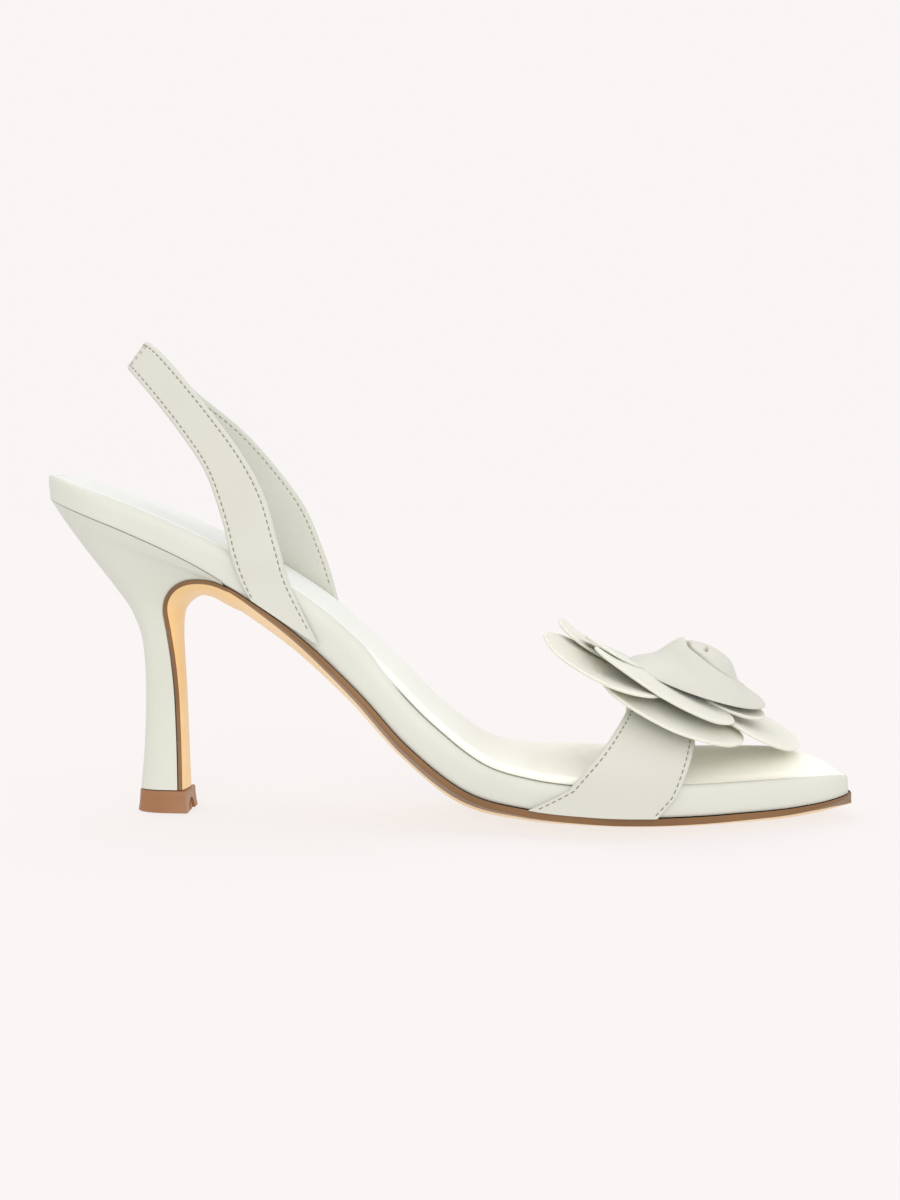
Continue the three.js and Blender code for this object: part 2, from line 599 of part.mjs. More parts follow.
function archPoint(x, across) {
  const s = station(x);
  const outer = halfWidth(x, -1) + STRAP_STAND;
  const inner = halfWidth(x, 1) + STRAP_STAND;
  const shoulder = s.wall * SHOULDER;
  const end = Math.min(across, 1 - across) / WALL_SHARE;
  if (end <= 1) return raise(s, across < 0.5 ? -outer : inner, lerp(GAP, shoulder, end));
  const away = (end - 1) / (0.5 / WALL_SHARE - 1); // from the wall (0) to the crown (1)
  const quarter = (Math.PI / 2) * away ** ARCH_START;
  const turn = across < 0.5 ? quarter : Math.PI - quarter;
  const start = s.z + shoulder;
  const top = VAMP_HEIGHT - STRAP_THICKNESS / 2 - VAMP_FALL * (x - VAMP_BACK * SHOE_LENGTH);
  const span = (outer + inner) / 2;
  const swing = Math.sign(Math.cos(turn)) * Math.abs(Math.cos(turn)) ** ARCH_SIDES;
  const z = lerp(start, top, Math.sin(turn) ** ARCH_TOP);
  return new THREE.Vector3(x + s.upX * shoulder, (inner - outer) / 2 - span * swing, z);
}

// A strip of leather between two edges, each ring running across it and back.
const SKIVED = 0.72; // share of the thickness left at the edges
const DELTA = 0.004;
const VAMP_STEPS = [40, 5];
const SLING_STEPS = [56, 4];

function strap(pointAt, [steps, along]) {
  const rings = [];
  for (let i = 0; i <= steps; i++) {
    const s = i / steps;
    const outside = [];
    const inside = [];
    for (let j = 0; j <= along; j++) {
      const e = j / along;
      const p = pointAt(s, e);
      const acrossStep = pointAt(Math.min(s + DELTA, 1), e).sub(pointAt(Math.max(s - DELTA, 0), e));
      const alongStep = pointAt(s, Math.min(e + DELTA, 1)).sub(pointAt(s, Math.max(e - DELTA, 0)));
      const normal = alongStep.cross(acrossStep).normalize();
      const rounded = j === 0 || j === along ? SKIVED : 1;
      outside.push(p.clone().addScaledVector(normal, (rounded * STRAP_THICKNESS) / 2));
      inside.push(p.clone().addScaledVector(normal, (-rounded * STRAP_THICKNESS) / 2));
    }
    rings.push([...outside, ...inside.reverse()]);
  }
  return rings;
}

function vampPoint(s, e) {
  const back = SHOE_LENGTH * column(VAMP, "back", s, "across");
  const front = SHOE_LENGTH * column(VAMP, "front", s, "across");
  return archPoint(lerp(back, front, e), s);
}
addNode("vamp_strap", loft(strap(vampPoint, VAMP_STEPS)), "strap");

// Heel strap: a ruled band between its lower and its upper edge
const ROOT_END = 0.4; // share of SLING_HEIGHT up to which the strap follows the wall beside it

function slingPoint(s, e) {
  const row = s * (SLING.length - 1);
  const rootX = SLING_ROOT_AT * SHOE_LENGTH;
  const rootZ = edgeHeight(rootX);
  const rows = SLING.map((r) => ({ ...r, out: r.side * r.spread }));
  const at = (key) => column(rows, key, row, "row");
  const x = SHOE_LENGTH * lerp(at("backAlong"), at("frontAlong"), e);
  const up = lerp(at("backUp"), at("frontUp"), e);
  const out = at("out");
  const nearRoot = clamp(1 - up / ROOT_END, 0, 1);
  const wall = halfWidth(lerp(rootX, x, nearRoot), Math.sign(out));
  const low = raise(station(x), 0, GAP).z;
  return new THREE.Vector3(x, out * (wall + STRAP_STAND), Math.max(rootZ + SLING_HEIGHT * up, low));
}
addNode("sling_strap", loft(strap(slingPoint, SLING_STEPS)), "strap");

// Flower: two rows of petals and a rolled bud, on the crown of the vamp strap
const crown = archPoint(FLOWER_AT * SHOE_LENGTH, 0.5);
const flowerBase = new THREE.Matrix4()
  .makeTranslation(crown.x, 0, crown.z + STRAP_THICKNESS / 2 + FLOWER_SEAT)
  .multiply(new THREE.Matrix4().makeRotationY(THREE.MathUtils.degToRad(FLOWER_TILT)));

const PETAL_ROOT = 0.3; // share of a petal's width at the flower's middle
const WIDEST = 0.6; // share of its reach where a petal is widest
const PETAL_END = 0.997; // the last section keeps a little width
const PETAL_STEPS = [8, 5];

const petalShape = (u) => {
  if (u < WIDEST) return lerp(PETAL_ROOT, 1, THREE.MathUtils.smoothstep(u, 0, WIDEST));
  return Math.sqrt(Math.max(0, 1 - ((u - WIDEST) / (1 - WIDEST)) ** 2));
};

function petal(p) {
  const rings = [];
  const [outward, sideways] = PETAL_STEPS;
  for (let i = 0; i <= outward; i++) {
    const u = PETAL_END * Math.sin((Math.PI / 2) * (i / outward)) ** 1.1;
    const top = [];
    const bottom = [];
    for (let j = 0; j <= sideways; j++) {
      const v = (2 * j) / sideways - 1;
      const x = PETAL_REACH * p.reach * u;
      const y = 0.5 * PETAL_WIDTH * p.width * petalShape(u) * v;
      const edge = v * v * petalShape(u) * THREE.MathUtils.smoothstep(u, 0.1, 0.6);
      const skew = p.skew * v * u * petalShape(u);
      const height = p.lift + p.climb * u ** 1.5 + p.cup * edge + p.curl * u ** 5 + skew;
      top.push(new THREE.Vector3(x, y, PETAL_THICKNESS * (height + 0.5)));
      bottom.push(new THREE.Vector3(x, y, PETAL_THICKNESS * (height - 0.5)));
    }
    rings.push([...top, ...bottom.reverse()]);
  }
  return loft(rings).rotateZ(THREE.MathUtils.degToRad(-p.turn));
}

function petalRow(petals, hub) {
  const radius = PETAL_REACH * hub.radius;
  const disc = new THREE.CylinderGeometry(radius, radius, PETAL_THICKNESS * hub.height, 24)
    .rotateX(Math.PI / 2)
    .translate(0, 0, PETAL_THICKNESS * hub.middle);
  return petals.map((p) => solid(petal(p))).reduce((all, one) => all.add(one), solid(disc));
}

const outerPetals = petalRow(OUTER_PETALS, HUBS.outer);
const innerPetals = petalRow(INNER_PETALS, HUBS.inner);
addNode("outer_petals", geometryOf(outerPetals).applyMatrix4(flowerBase), "flower");
addNode("inner_petals", geometryOf(innerPetals).applyMatrix4(flowerBase), "flower");

// Bud: a rolled cone whose outer turn ends in a step, above its spreading lip
const BUD_TURN = 26;
const ROLL_START = -0.6; // radians from the toe where the outer turn ends
const LIP_TURN = 0.25; // radians that the lip's lowest place lies behind the outer side

function budRing(level) {
  return Array.from({ length: BUD_TURN }, (_, i) => {
    const angle = (2 * Math.PI * i) / BUD_TURN + ROLL_START;
    const step = ROLL_STEP * level.roll * (i / (BUD_TURN - 1) - 0.5);
    const r = BUD_RADIUS * level.wide * (1 + step);
    const fall = (LIP_FALL * level.fall * (1 - Math.sin(angle + LIP_TURN))) / 2;
    const up = BUD_SEAT + BUD_HEIGHT * level.up - fall;
    const middle = BUD_FORWARD + BUD_RADIUS * level.ahead;
    return new THREE.Vector3(middle + r * Math.cos(angle), r * Math.sin(angle), up);
  });
}
addNode("bud", loft(BUD.map(budRing)).applyMatrix4(flowerBase), "flower");

// The origin goes under the middle of the shoe, on the floor.
const bounds = new THREE.Box3().setFromObject(shoe, true);
shoe.position.set(-(bounds.min.x + bounds.max.x) / 2, -(bounds.min.y + bounds.max.y) / 2, -bounds.min.z);

export default shoe;
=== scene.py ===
# %% [markdown]
# A white slingback sandal on a slim flared heel, with a leather flower on its vamp strap.
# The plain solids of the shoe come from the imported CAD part. This lesson dresses each of them:
# a finer mesh takes the solid's place, and a node material gives it leather, paint or plastic.
# Everything is drawn in millimetres from the heel's back, and moved into the frame at the end.

# %% Load the frame
import math

import bmesh
import bpy
import numpy as np
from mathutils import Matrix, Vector


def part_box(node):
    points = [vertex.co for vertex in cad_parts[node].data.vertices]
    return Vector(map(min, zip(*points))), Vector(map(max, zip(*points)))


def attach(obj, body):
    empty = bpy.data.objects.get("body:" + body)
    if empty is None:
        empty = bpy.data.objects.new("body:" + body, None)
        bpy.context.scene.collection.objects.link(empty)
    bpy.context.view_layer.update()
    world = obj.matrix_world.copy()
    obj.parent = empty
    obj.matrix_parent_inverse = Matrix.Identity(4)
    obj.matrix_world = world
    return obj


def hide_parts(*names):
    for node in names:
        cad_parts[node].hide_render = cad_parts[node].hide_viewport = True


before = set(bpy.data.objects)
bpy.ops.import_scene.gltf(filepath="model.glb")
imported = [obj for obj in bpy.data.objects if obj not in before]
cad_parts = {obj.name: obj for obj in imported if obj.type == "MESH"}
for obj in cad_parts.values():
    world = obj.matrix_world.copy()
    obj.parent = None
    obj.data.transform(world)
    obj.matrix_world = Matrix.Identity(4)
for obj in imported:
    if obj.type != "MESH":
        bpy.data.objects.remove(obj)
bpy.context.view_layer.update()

MM = 0.001
print("nodes in the frame:", sorted(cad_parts))

# %% [markdown]
# The sizes of the shoe. They are the ones that the solids were made from, so a piece that is
# drawn with them lies exactly where its solid lies. Tables hold shares of the sizes.

# %% Sizes in millimetres
SHOE_LENGTH = 232
SEAT_HEIGHT = 92
TREAD_HEIGHT = 5.2
SEAT_WIDTH = 44.6
WAIST_WIDTH = 37.7
BALL_WIDTH = 72
HEEL_ROUND = 21
TOE_ROUND = 11
GAP = 0.3
INSOLE_WALL = 8
KEEL_DEPTH = 5
SOCK_THICKNESS = 2.2
SOCK_CROWN = 2
SOLE_THICKNESS = 2.8
BREAST_THICKNESS = 2
BREAST_EDGE = 1.1
SOLE_MARGIN = 0.9
HEEL_REACH = 58
TIP_HEIGHT = 6.4
TIP_OVERHANG = 0.3
TIP_FLARE = 0.6
STRAP_THICKNESS = 1.8
VAMP_HEIGHT = 38
VAMP_BACK = 0.7263
VAMP_FALL = 0.29
SLING_HEIGHT = 79
FLOWER_AT = 0.7694
FLOWER_SEAT = 0.8
FLOWER_TILT = 22
PETAL_REACH = 38
PETAL_WIDTH = 42
PETAL_THICKNESS = 1
BUD_SEAT = 7.9
BUD_FORWARD = 7
BUD_RADIUS = 11.4
BUD_HEIGHT = 9.6
LIP_FALL = 5.2


def table(names, rows):
    """Named columns as arrays, with the row's number as one more column."""
    columns = dict(zip(names.split(), np.array(rows, float).T))
    columns["row"] = np.arange(len(rows), dtype=float)
    return columns


LAST = table("at rise width outer inner keel wall crown lean edge", [
    [0.0, 1.0, SEAT_WIDTH, 0.527, 0.437, 0.0, 0.68, -0.2, -0.25, 0.3],
    [0.05, 0.955, SEAT_WIDTH, 0.538, 0.448, 0.06, 0.66, -0.3, 0, 0.3],
    [0.12, 0.881, SEAT_WIDTH, 0.545, 0.455, 0.3, 0.66, -0.3, 0.5, 0.3],
    [0.2, 0.781, SEAT_WIDTH, 0.547, 0.433, 0.6, 0.7, -0.2, 1, 0.3],
    [0.26, 0.682, WAIST_WIDTH, 0.637, 0.446, 0.74, 0.84, 0.1, 1, 0.32],
    [0.33, 0.548, WAIST_WIDTH, 0.637, 0.377, 0.82, 0.95, 0.3, 1, 0.46],
    [0.4, 0.373, WAIST_WIDTH, 0.655, 0.345, 0.88, 1.0, 0.4, 1, 0.58],
    [0.46, 0.202, WAIST_WIDTH, 0.7, 0.358, 0.95, 1.1, 0.4, 1, 0.62],
    [0.53, 0.068, WAIST_WIDTH, 0.796, 0.446, 1.08, 1.08, 0.4, 1, 0.66],
    [0.6, 0.024, BALL_WIDTH, 0.469, 0.319, 0.88, 0.98, 0.4, 1, 0.7],
    [0.68, 0.008, BALL_WIDTH, 0.506, 0.442, 0.64, 0.93, 0.4, 1, 0.72],
    [0.74, 0.003, BALL_WIDTH, 0.49, 0.508, 0.6, 0.86, 0.5, 1, 0.72],
    [0.8, 0.0, BALL_WIDTH, 0.428, 0.525, 0.57, 0.8, 0.7, 1, 0.71],
    [0.86, 0.0, BALL_WIDTH, 0.342, 0.467, 0.5, 0.78, 1.0, 1, 0.68],
    [0.92, 0.001, BALL_WIDTH, 0.239, 0.347, 0.4, 0.74, 1.0, 1, 0.58],
    [1.0, 0.021, BALL_WIDTH, 0.105, 0.15, 0.15, 0.45, -1, 1, 0.34],
])
LAST["outer"] = LAST["outer"] * LAST["width"]
LAST["inner"] = LAST["inner"] * LAST["width"]

HEEL = table("breastAlong breastUp backAlong backUp half shift keel seat", [
    [0.983, 0.6964, 0.02, 0.9914, 0.462, -0.072, 0.79, 1],
    [0.871, 0.721, 0.08, 0.9245, 0.41, -0.06, 0.68, 0.86],
    [0.762, 0.7234, 0.166, 0.8404, 0.36, -0.054, 0.6, 0.66],
    [0.679, 0.7045, 0.257, 0.7584, 0.306, -0.052, 0.64, 0.44],
    [0.621, 0.6667, 0.343, 0.6808, 0.248, -0.052, 0.6, 0.22],
    [0.597, 0.6179, 0.407, 0.615, 0.198, -0.052, 0.5, 0.08],
    [0.607, 0.5427, 0.452, 0.533, 0.153, -0.052, 0.24, 0],
    [0.624, 0.4431, 0.469, 0.437, 0.126, -0.052, 0.1, 0],
    [0.638, 0.3259, 0.472, 0.3205, 0.115, -0.052, 0.03, 0],
    [0.647, 0.1618, 0.464, 0.1618, 0.116, -0.052, 0, 0],
    [0.653, 0, 0.443, 0, 0.132, -0.052, 0, 0],
])
HEEL_FRONT_ROW = 0.4
LAST_ROW = 10

WALL_SHARE = 0.12
VAMP = table("across back front", [
    [0.0, 0.603, 0.7525],
    [0.12, 0.648, 0.775],
    [0.25, 0.692, 0.793],
    [0.39, 0.722, 0.804],
    [0.5, VAMP_BACK, 0.8116],
    [0.67, 0.7305, 0.8205],
    [0.88, 0.7328, 0.829],
    [1.0, 0.7328, 0.834],
])

SLING_ROOT_AT = 0.302
SLING = table("out backAlong backUp frontAlong frontUp", [
    [-1.0, 0.2705, 0.07, 0.353, -0.09],
    [-1.0, 0.2582, 0.13, 0.3198, 0.115],
    [-1.0, 0.2466, 0.225, 0.3056, 0.257],
    [-0.91, 0.2353, 0.345, 0.2866, 0.434],
    [-0.74, 0.2112, 0.516, 0.2586, 0.573],
    [-0.54, 0.1767, 0.655, 0.2177, 0.725],
    [-0.36, 0.1379, 0.788, 0.1746, 0.87],
    [-0.22, 0.1103, 0.874, 0.1422, 0.968],
    [0.0, 0.0983, 0.902, 0.1228, 1.003],
    [0.34, 0.1103, 0.874, 0.1362, 0.95],
    [0.58, 0.1401, 0.782, 0.1719, 0.836],
    [0.88, 0.1832, 0.642, 0.2284, 0.693],
    [1.1, 0.2198, 0.49, 0.2716, 0.547],
    [1.15, 0.25, 0.307, 0.3082, 0.395],
    [1.08, 0.2694, 0.193, 0.3319, 0.237],
    [1.02, 0.2823, 0.104, 0.347, 0.11],
    [1.0, 0.2953, 0.015, 0.3707, -0.16],
])
print("sections of the last:", len(LAST["at"]), "and of the heel:", len(HEEL["half"]))

# %% [markdown]
# The last is the foot-shaped form that a shoe is built on. Here it is a set of smooth curves
# through the tables: how wide, how high and how steep the insole is at any place. A maker
# would carve it. Curves through a few sections give the same smooth form and stay easy to edit.

# %% Curves of the last
def curve(rows, key, place, by="at"):
    """A table's column at a place along another column, smooth through the rows."""
    where, value = rows[by], rows[key]
    last = len(where) - 1
    number = np.arange(last + 1)
    before, after = np.maximum(number - 1, 0), np.minimum(number + 1, last)
    slope = (value[after] - value[before]) / (where[after] - where[before])
    p = np.clip(place, where[0], where[-1])
    i = np.searchsorted(where[1:-1], p, side="left")
    step = where[i + 1] - where[i]
    t = (p - where[i]) / step
    start = value[i] * (2 * t**3 - 3 * t**2 + 1) + slope[i] * step * (t**3 - 2 * t**2 + t)
    end = value[i + 1] * (3 * t**2 - 2 * t**3) + slope[i + 1] * step * (t**3 - t**2)
    return start + end


def mix(a, b, share):
    return a + (b - a) * share


def ease(x, low, high):
    t = np.clip((x - low) / (high - low), 0, 1)
    return t * t * (3 - 2 * t)


def by_row(rows, row, *keys):
    """Several columns of a table at a row, which may lie between two rows."""
    return [curve(rows, key, row, "row") for key in keys]


def heading(at, row, last):
    """Unit direction in which a line runs on at a row. at gives the line's places."""
    x1, z1 = at(np.minimum(row + 0.05, last))[:2]
    x0, z0 = at(np.maximum(row - 0.05, 0))[:2]
    long = np.hypot(x1 - x0, z1 - z0)
    return (x1 - x0) / long, (z1 - z0) / long


def round_end(distance, radius):
    missing = np.clip(1 - distance / radius, 0, 1)
    return np.sqrt(np.maximum(0, 1 - missing * missing))


def half_width(x, side, margin=0.0):
    """Half the insole's width at x on one side, -1 outer and 1 inner."""
    at = x / SHOE_LENGTH
    base = np.where(np.asarray(side) < 0, curve(LAST, "outer", at), curve(LAST, "inner", at))
    heel_end = round_end(x + margin, HEEL_ROUND + margin)
    toe_end = round_end(SHOE_LENGTH + margin - x, TOE_ROUND + margin)
    return (base + margin) * heel_end * toe_end


def edge_height(x):
    return TREAD_HEIGHT + (SEAT_HEIGHT - TREAD_HEIGHT) * curve(LAST, "rise", x / SHOE_LENGTH)


def station(x):
    """The insole's lower edge at x, and the direction in which its section stands up."""
    x = np.asarray(x, float)
    at = x / SHOE_LENGTH
    slope = np.arctan(edge_height(x - 0.5) - edge_height(x + 0.5))
    lean = slope * curve(LAST, "lean", at)
    return {
        "x": x,
        "z": edge_height(x),
        "up_x": np.sin(lean),
        "up_z": np.cos(lean),
        "keel": KEEL_DEPTH * np.maximum(0, curve(LAST, "keel", at)),
        "wall": INSOLE_WALL * curve(LAST, "wall", at),
        "crown": SOCK_CROWN * curve(LAST, "crown", at),
        "sole_edge": SOLE_THICKNESS * curve(LAST, "edge", at),
    }


def raised(s, y, up):
    """Points at height up above the insole's lower edge, and y across."""
    parts = np.broadcast_arrays(s["x"] + s["up_x"] * up, y, s["z"] + s["up_z"] * up)
    return np.stack(parts, -1)


def bulge(across):
    return 1 - np.abs(across) ** 2.5


def places(start, end, count):
    """Places along the shoe, closer together at both ends."""
    even = np.linspace(0, 1, count + 1)
    return mix(start, end, mix(even, (1 - np.cos(np.pi * even)) / 2, 0.8))


def breast(row):
    """A place on the line where the sole lies against the heel's breast."""
    row = np.asarray(row, float)

    def at(r):
        along, up = by_row(HEEL, r, "breastAlong", "breastUp")
        return HEEL_REACH * along, mix(TIP_HEIGHT + GAP, SEAT_HEIGHT, up)

    x, z = at(row)
    on_x, on_z = heading(at, row, LAST_ROW)
    half, shift, keel = by_row(HEEL, row, "half", "shift", "keel")
    return {"x": x, "z": z, "out_x": -on_z, "out_z": on_x, "half": SEAT_WIDTH * half,
            "shift": SEAT_WIDTH * shift, "keel": KEEL_DEPTH * np.maximum(0, keel)}


foot = breast(LAST_ROW)
tip_low, tip_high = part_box("heel_tip")
TIP_BACK = HEEL_REACH * HEEL["backAlong"][-1] - TIP_OVERHANG - TIP_FLARE
SHIFT = np.array([
    tip_low.x / MM - TIP_BACK,
    (tip_low.y + tip_high.y) / 2 / MM - float(foot["shift"]),
    0.0,
])
print("from the drawing to the frame, mm:", SHIFT.round(2))

# %% [markdown]
# Meshes are written as rings of points and the faces between them. Each new piece takes its
# place in one call: it rides on the shoe's only body, hides the CAD node that it stands for, and
# gets its list of materials. Edges that bend sharply stay crisp, the rest is smooth.

# %% Mesh helpers
def grid_faces(rows, columns, start=0, closed=False):
    """Quads between rows of points. A closed row also joins its last point to its first."""
    reach = columns if closed else columns - 1
    return [
        (start + i * columns + j, start + i * columns + (j + 1) % columns,
         start + (i + 1) * columns + (j + 1) % columns, start + (i + 1) * columns + j)
        for i in range(rows - 1)
        for j in range(reach)
    ]


def mark_sharp(work, degrees):
    """Edges that bend by more than this stay crisp."""
    for edge in work.edges:
        if len(edge.link_faces) == 2 and edge.calc_face_angle() > math.radians(degrees):
            edge.smooth = False


def thicken(piece, thickness):
    """Gives a thin sheet its thickness, laid on both sides of it, and softens its rim."""
    thick = piece.modifiers.new("leather thickness", "SOLIDIFY")
    thick.thickness = thickness * MM
    thick.offset = 0
    soft = piece.modifiers.new("soft rims", "SUBSURF")
    soft.levels = 1
    soft.render_levels = 1


def add_object(name, data):
    made = bpy.data.objects.new(name, data)
    bpy.context.scene.collection.objects.link(made)
    return made


def make_piece(name, points, faces, materials, node=None, kinds=None, sharp=42):
    """A mesh object from points in drawing millimetres. kinds gives each face's material."""
    mesh = bpy.data.meshes.new(name)
    flat = (np.asarray(points, float).reshape(-1, 3) + SHIFT) * MM
    mesh.from_pydata(flat.tolist(), [], faces)
    if kinds is not None:
        mesh.polygons.foreach_set("material_index", kinds)
    work = bmesh.new()
    work.from_mesh(mesh)
    bmesh.ops.remove_doubles(work, verts=work.verts, dist=2e-6)
    bmesh.ops.dissolve_degenerate(work, edges=work.edges, dist=1e-6)
    bmesh.ops.recalc_face_normals(work, faces=work.faces)
    for face in work.faces:
        face.smooth = True
    mark_sharp(work, sharp)
    work.to_mesh(mesh)
    work.free()
    piece = add_object(name, mesh)
    for material in materials:
        mesh.materials.append(material)
    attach(piece, "root")
    if node:
        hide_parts(node)
    triangles = sum(len(p.vertices) - 2 for p in mesh.polygons)
    print(f"{name}: {triangles} triangles")
    return piece


def lofted(rings):
    """Points and faces of a closed form through rings, closed at both ends."""
    rings = np.asarray(rings, float)
    rows, columns = rings.shape[:2]
    faces = grid_faces(rows, columns, closed=True)
    faces.append(tuple(range(columns))[::-1])
    faces.append(tuple((rows - 1) * columns + j for j in range(columns)))
    return rings.reshape(-1, 3), faces


# %% [markdown]
# White shoe leather is coated, so its grain is very fine, its gloss is soft, and its colour
# drifts a little from place to place. Grain, drift and soft creases are needed by several
# leathers. Each is a node group that is built once and gives out heights, masks and colours.

# %% Node groups
COLOURS = ("Light", "Deep", "Color")


def wire(tree, value, socket):
    """Links a socket to another one, or gives it a number or a colour."""
    if hasattr(value, "is_output"):
        tree.links.new(value, socket)
    else:
        socket.default_value = value


def node_group(name, inputs, outputs):
    """An empty node group, with its given sockets and those of its result."""
    group = bpy.data.node_groups.new(name, "ShaderNodeTree")

    def socket(title, way):
        kind = "NodeSocketColor" if title in COLOURS else "NodeSocketFloat"
        return group.interface.new_socket(name=title, in_out=way, socket_type=kind)

    for title, value in inputs.items():
        socket(title, "INPUT").default_value = value
    for title in outputs:
        socket(title, "OUTPUT")
    return group, group.nodes.new("NodeGroupInput").outputs, group.nodes.new("NodeGroupOutput").inputs


def add_node(tree, kind, output, inputs=None, **settings):
    """A node with its settings and inputs. Inputs are sockets, numbers or colours."""
    made = tree.nodes.new("ShaderNode" + kind)
    for key, value in settings.items():
        setattr(made, key, value)
    for key, value in (inputs or {}).items():
        wire(tree, value, made.inputs[key])
    return made.outputs[output]


def reckon(tree, operation, a, b=None):
    """One sum. a and b are sockets or numbers."""
    return add_node(tree, "Math", 0, {0: a} if b is None else {0: a, 1: b}, operation=operation)


def blended(tree, share, a, b):
    return add_node(tree, "Mix", "Result", {"Factor": share, "A": a, "B": b}, data_type="RGBA")


def pattern(tree, scale, stretch=None, turn=0.0, **inputs):
    """Inputs of a texture on the object's own coordinates, which may be stretched and turned."""
    place = add_node(tree, "TexCoord", "Object")
    if stretch:
        place = add_node(tree, "Mapping", "Vector",
                         {"Vector": place, "Scale": stretch, "Rotation": (0.0, 0.0, turn)})
    return {"Vector": place, "Scale": scale, **inputs}


tree, given, result = node_group("leather_grain", {"Cells per metre": 1400.0, "Softness": 0.5}, ["Height"])
grain_group = tree
cells = add_node(tree, "TexVoronoi", "Distance", pattern(tree, given["Cells per metre"], Smoothness=0.6),
                 feature="SMOOTH_F1")
wider = reckon(tree, "MULTIPLY", given["Cells per metre"], 0.37)
fine = add_node(tree, "TexNoise", "Fac", pattern(tree, wider, Detail=4.0))
rough_part = reckon(tree, "MULTIPLY", cells, reckon(tree, "SUBTRACT", 1.0, given["Softness"]))
soft_part = reckon(tree, "MULTIPLY", fine, given["Softness"])
wire(tree, reckon(tree, "ADD", rough_part, soft_part), result["Height"])

tree, given, result = node_group("soft_creases", {"Folds per metre": 60.0, "Sharpness": 3.0}, ["Height"])
crease_group = tree
folds = add_node(tree, "TexNoise", "Fac", pattern(
    tree, given["Folds per metre"], stretch=(1.0, 0.25, 0.5), Detail=2.0, Distortion=0.6))
away = reckon(tree, "ABSOLUTE", reckon(tree, "SUBTRACT", folds, 0.5))
sharpness = reckon(tree, "MULTIPLY", given["Sharpness"], 4.0)
valley = reckon(tree, "POWER", reckon(tree, "SUBTRACT", 1.0, away), sharpness)
wire(tree, reckon(tree, "SUBTRACT", 1.0, valley), result["Height"])

tree, given, result = node_group("along_the_shoe", {"From": -0.06, "To": 0.06}, ["Share"])
length_group = tree
place = tree.nodes.new("ShaderNodeTexCoord").outputs["Object"]
along = add_node(tree, "SeparateXYZ", "X", {"Vector": place})
ramp = {"Value": along, "From Min": given["From"], "From Max": given["To"]}
wire(tree, add_node(tree, "MapRange", "Result", ramp, interpolation_type="SMOOTHSTEP"), result["Share"])

tree, given, result = node_group(
    "colour_drift", {"Light": (1, 1, 1, 1), "Deep": (1, 1, 1, 1), "Patches per metre": 22.0},
    ["Color", "Mask"])
drift_group = tree
patches = add_node(tree, "TexNoise", "Fac", pattern(
    tree, given["Patches per metre"], Detail=3.0, Roughness=0.55))
spread = add_node(tree, "MapRange", "Result", {"Value": patches, "From Min": 0.35, "From Max": 0.65})
wire(tree, blended(tree, spread, given["Light"], given["Deep"]), result["Color"])
wire(tree, spread, result["Mask"])

tree, given, result = node_group("fine_scuffs", {"Scratches per metre": 90.0, "Amount": 0.3}, ["Mask"])
scuff_group = tree
lines = add_node(tree, "TexNoise", "Fac", pattern(
    tree, given["Scratches per metre"], stretch=(0.12, 1.0, 0.4), turn=0.3, Detail=6.0, Roughness=0.7))
level = reckon(tree, "SUBTRACT", 0.72, reckon(tree, "MULTIPLY", given["Amount"], 0.15))
over = reckon(tree, "MAXIMUM", reckon(tree, "SUBTRACT", lines, level), 0.0)
wire(tree, reckon(tree, "MINIMUM", reckon(tree, "MULTIPLY", over, 9.0), 1.0), result["Mask"])
print("node groups:", [g.name for g in bpy.data.node_groups])

# %% [markdown]
# Every finish on the shoe is one Principled shader with its own colours and gloss. The upper,
# the heel cover and the flower are the same white leather in three lights: each part has its own
# slightly lighter or darker colour, which is painted light and shade. The sock is a creamier lining,
# brighter at the toe, where painted light lifts the flower's shade. The sole is a tan sheet whose
# cut edge is painted brown. The petals let a little light through, so they scatter it inside.

# %% Materials
def linear(red, green, blue):
    """A colour that is given as on a screen, 0 to 255, as the shader wants it."""
    def one(value):
        v = value / 255
        return v / 12.92 if v <= 0.04045 else ((v + 0.055) / 1.055) ** 2.4
    return (one(red), one(green), one(blue), 1.0)


WORN_SHADE = 0.72
SCATTER_REACH = 2.0


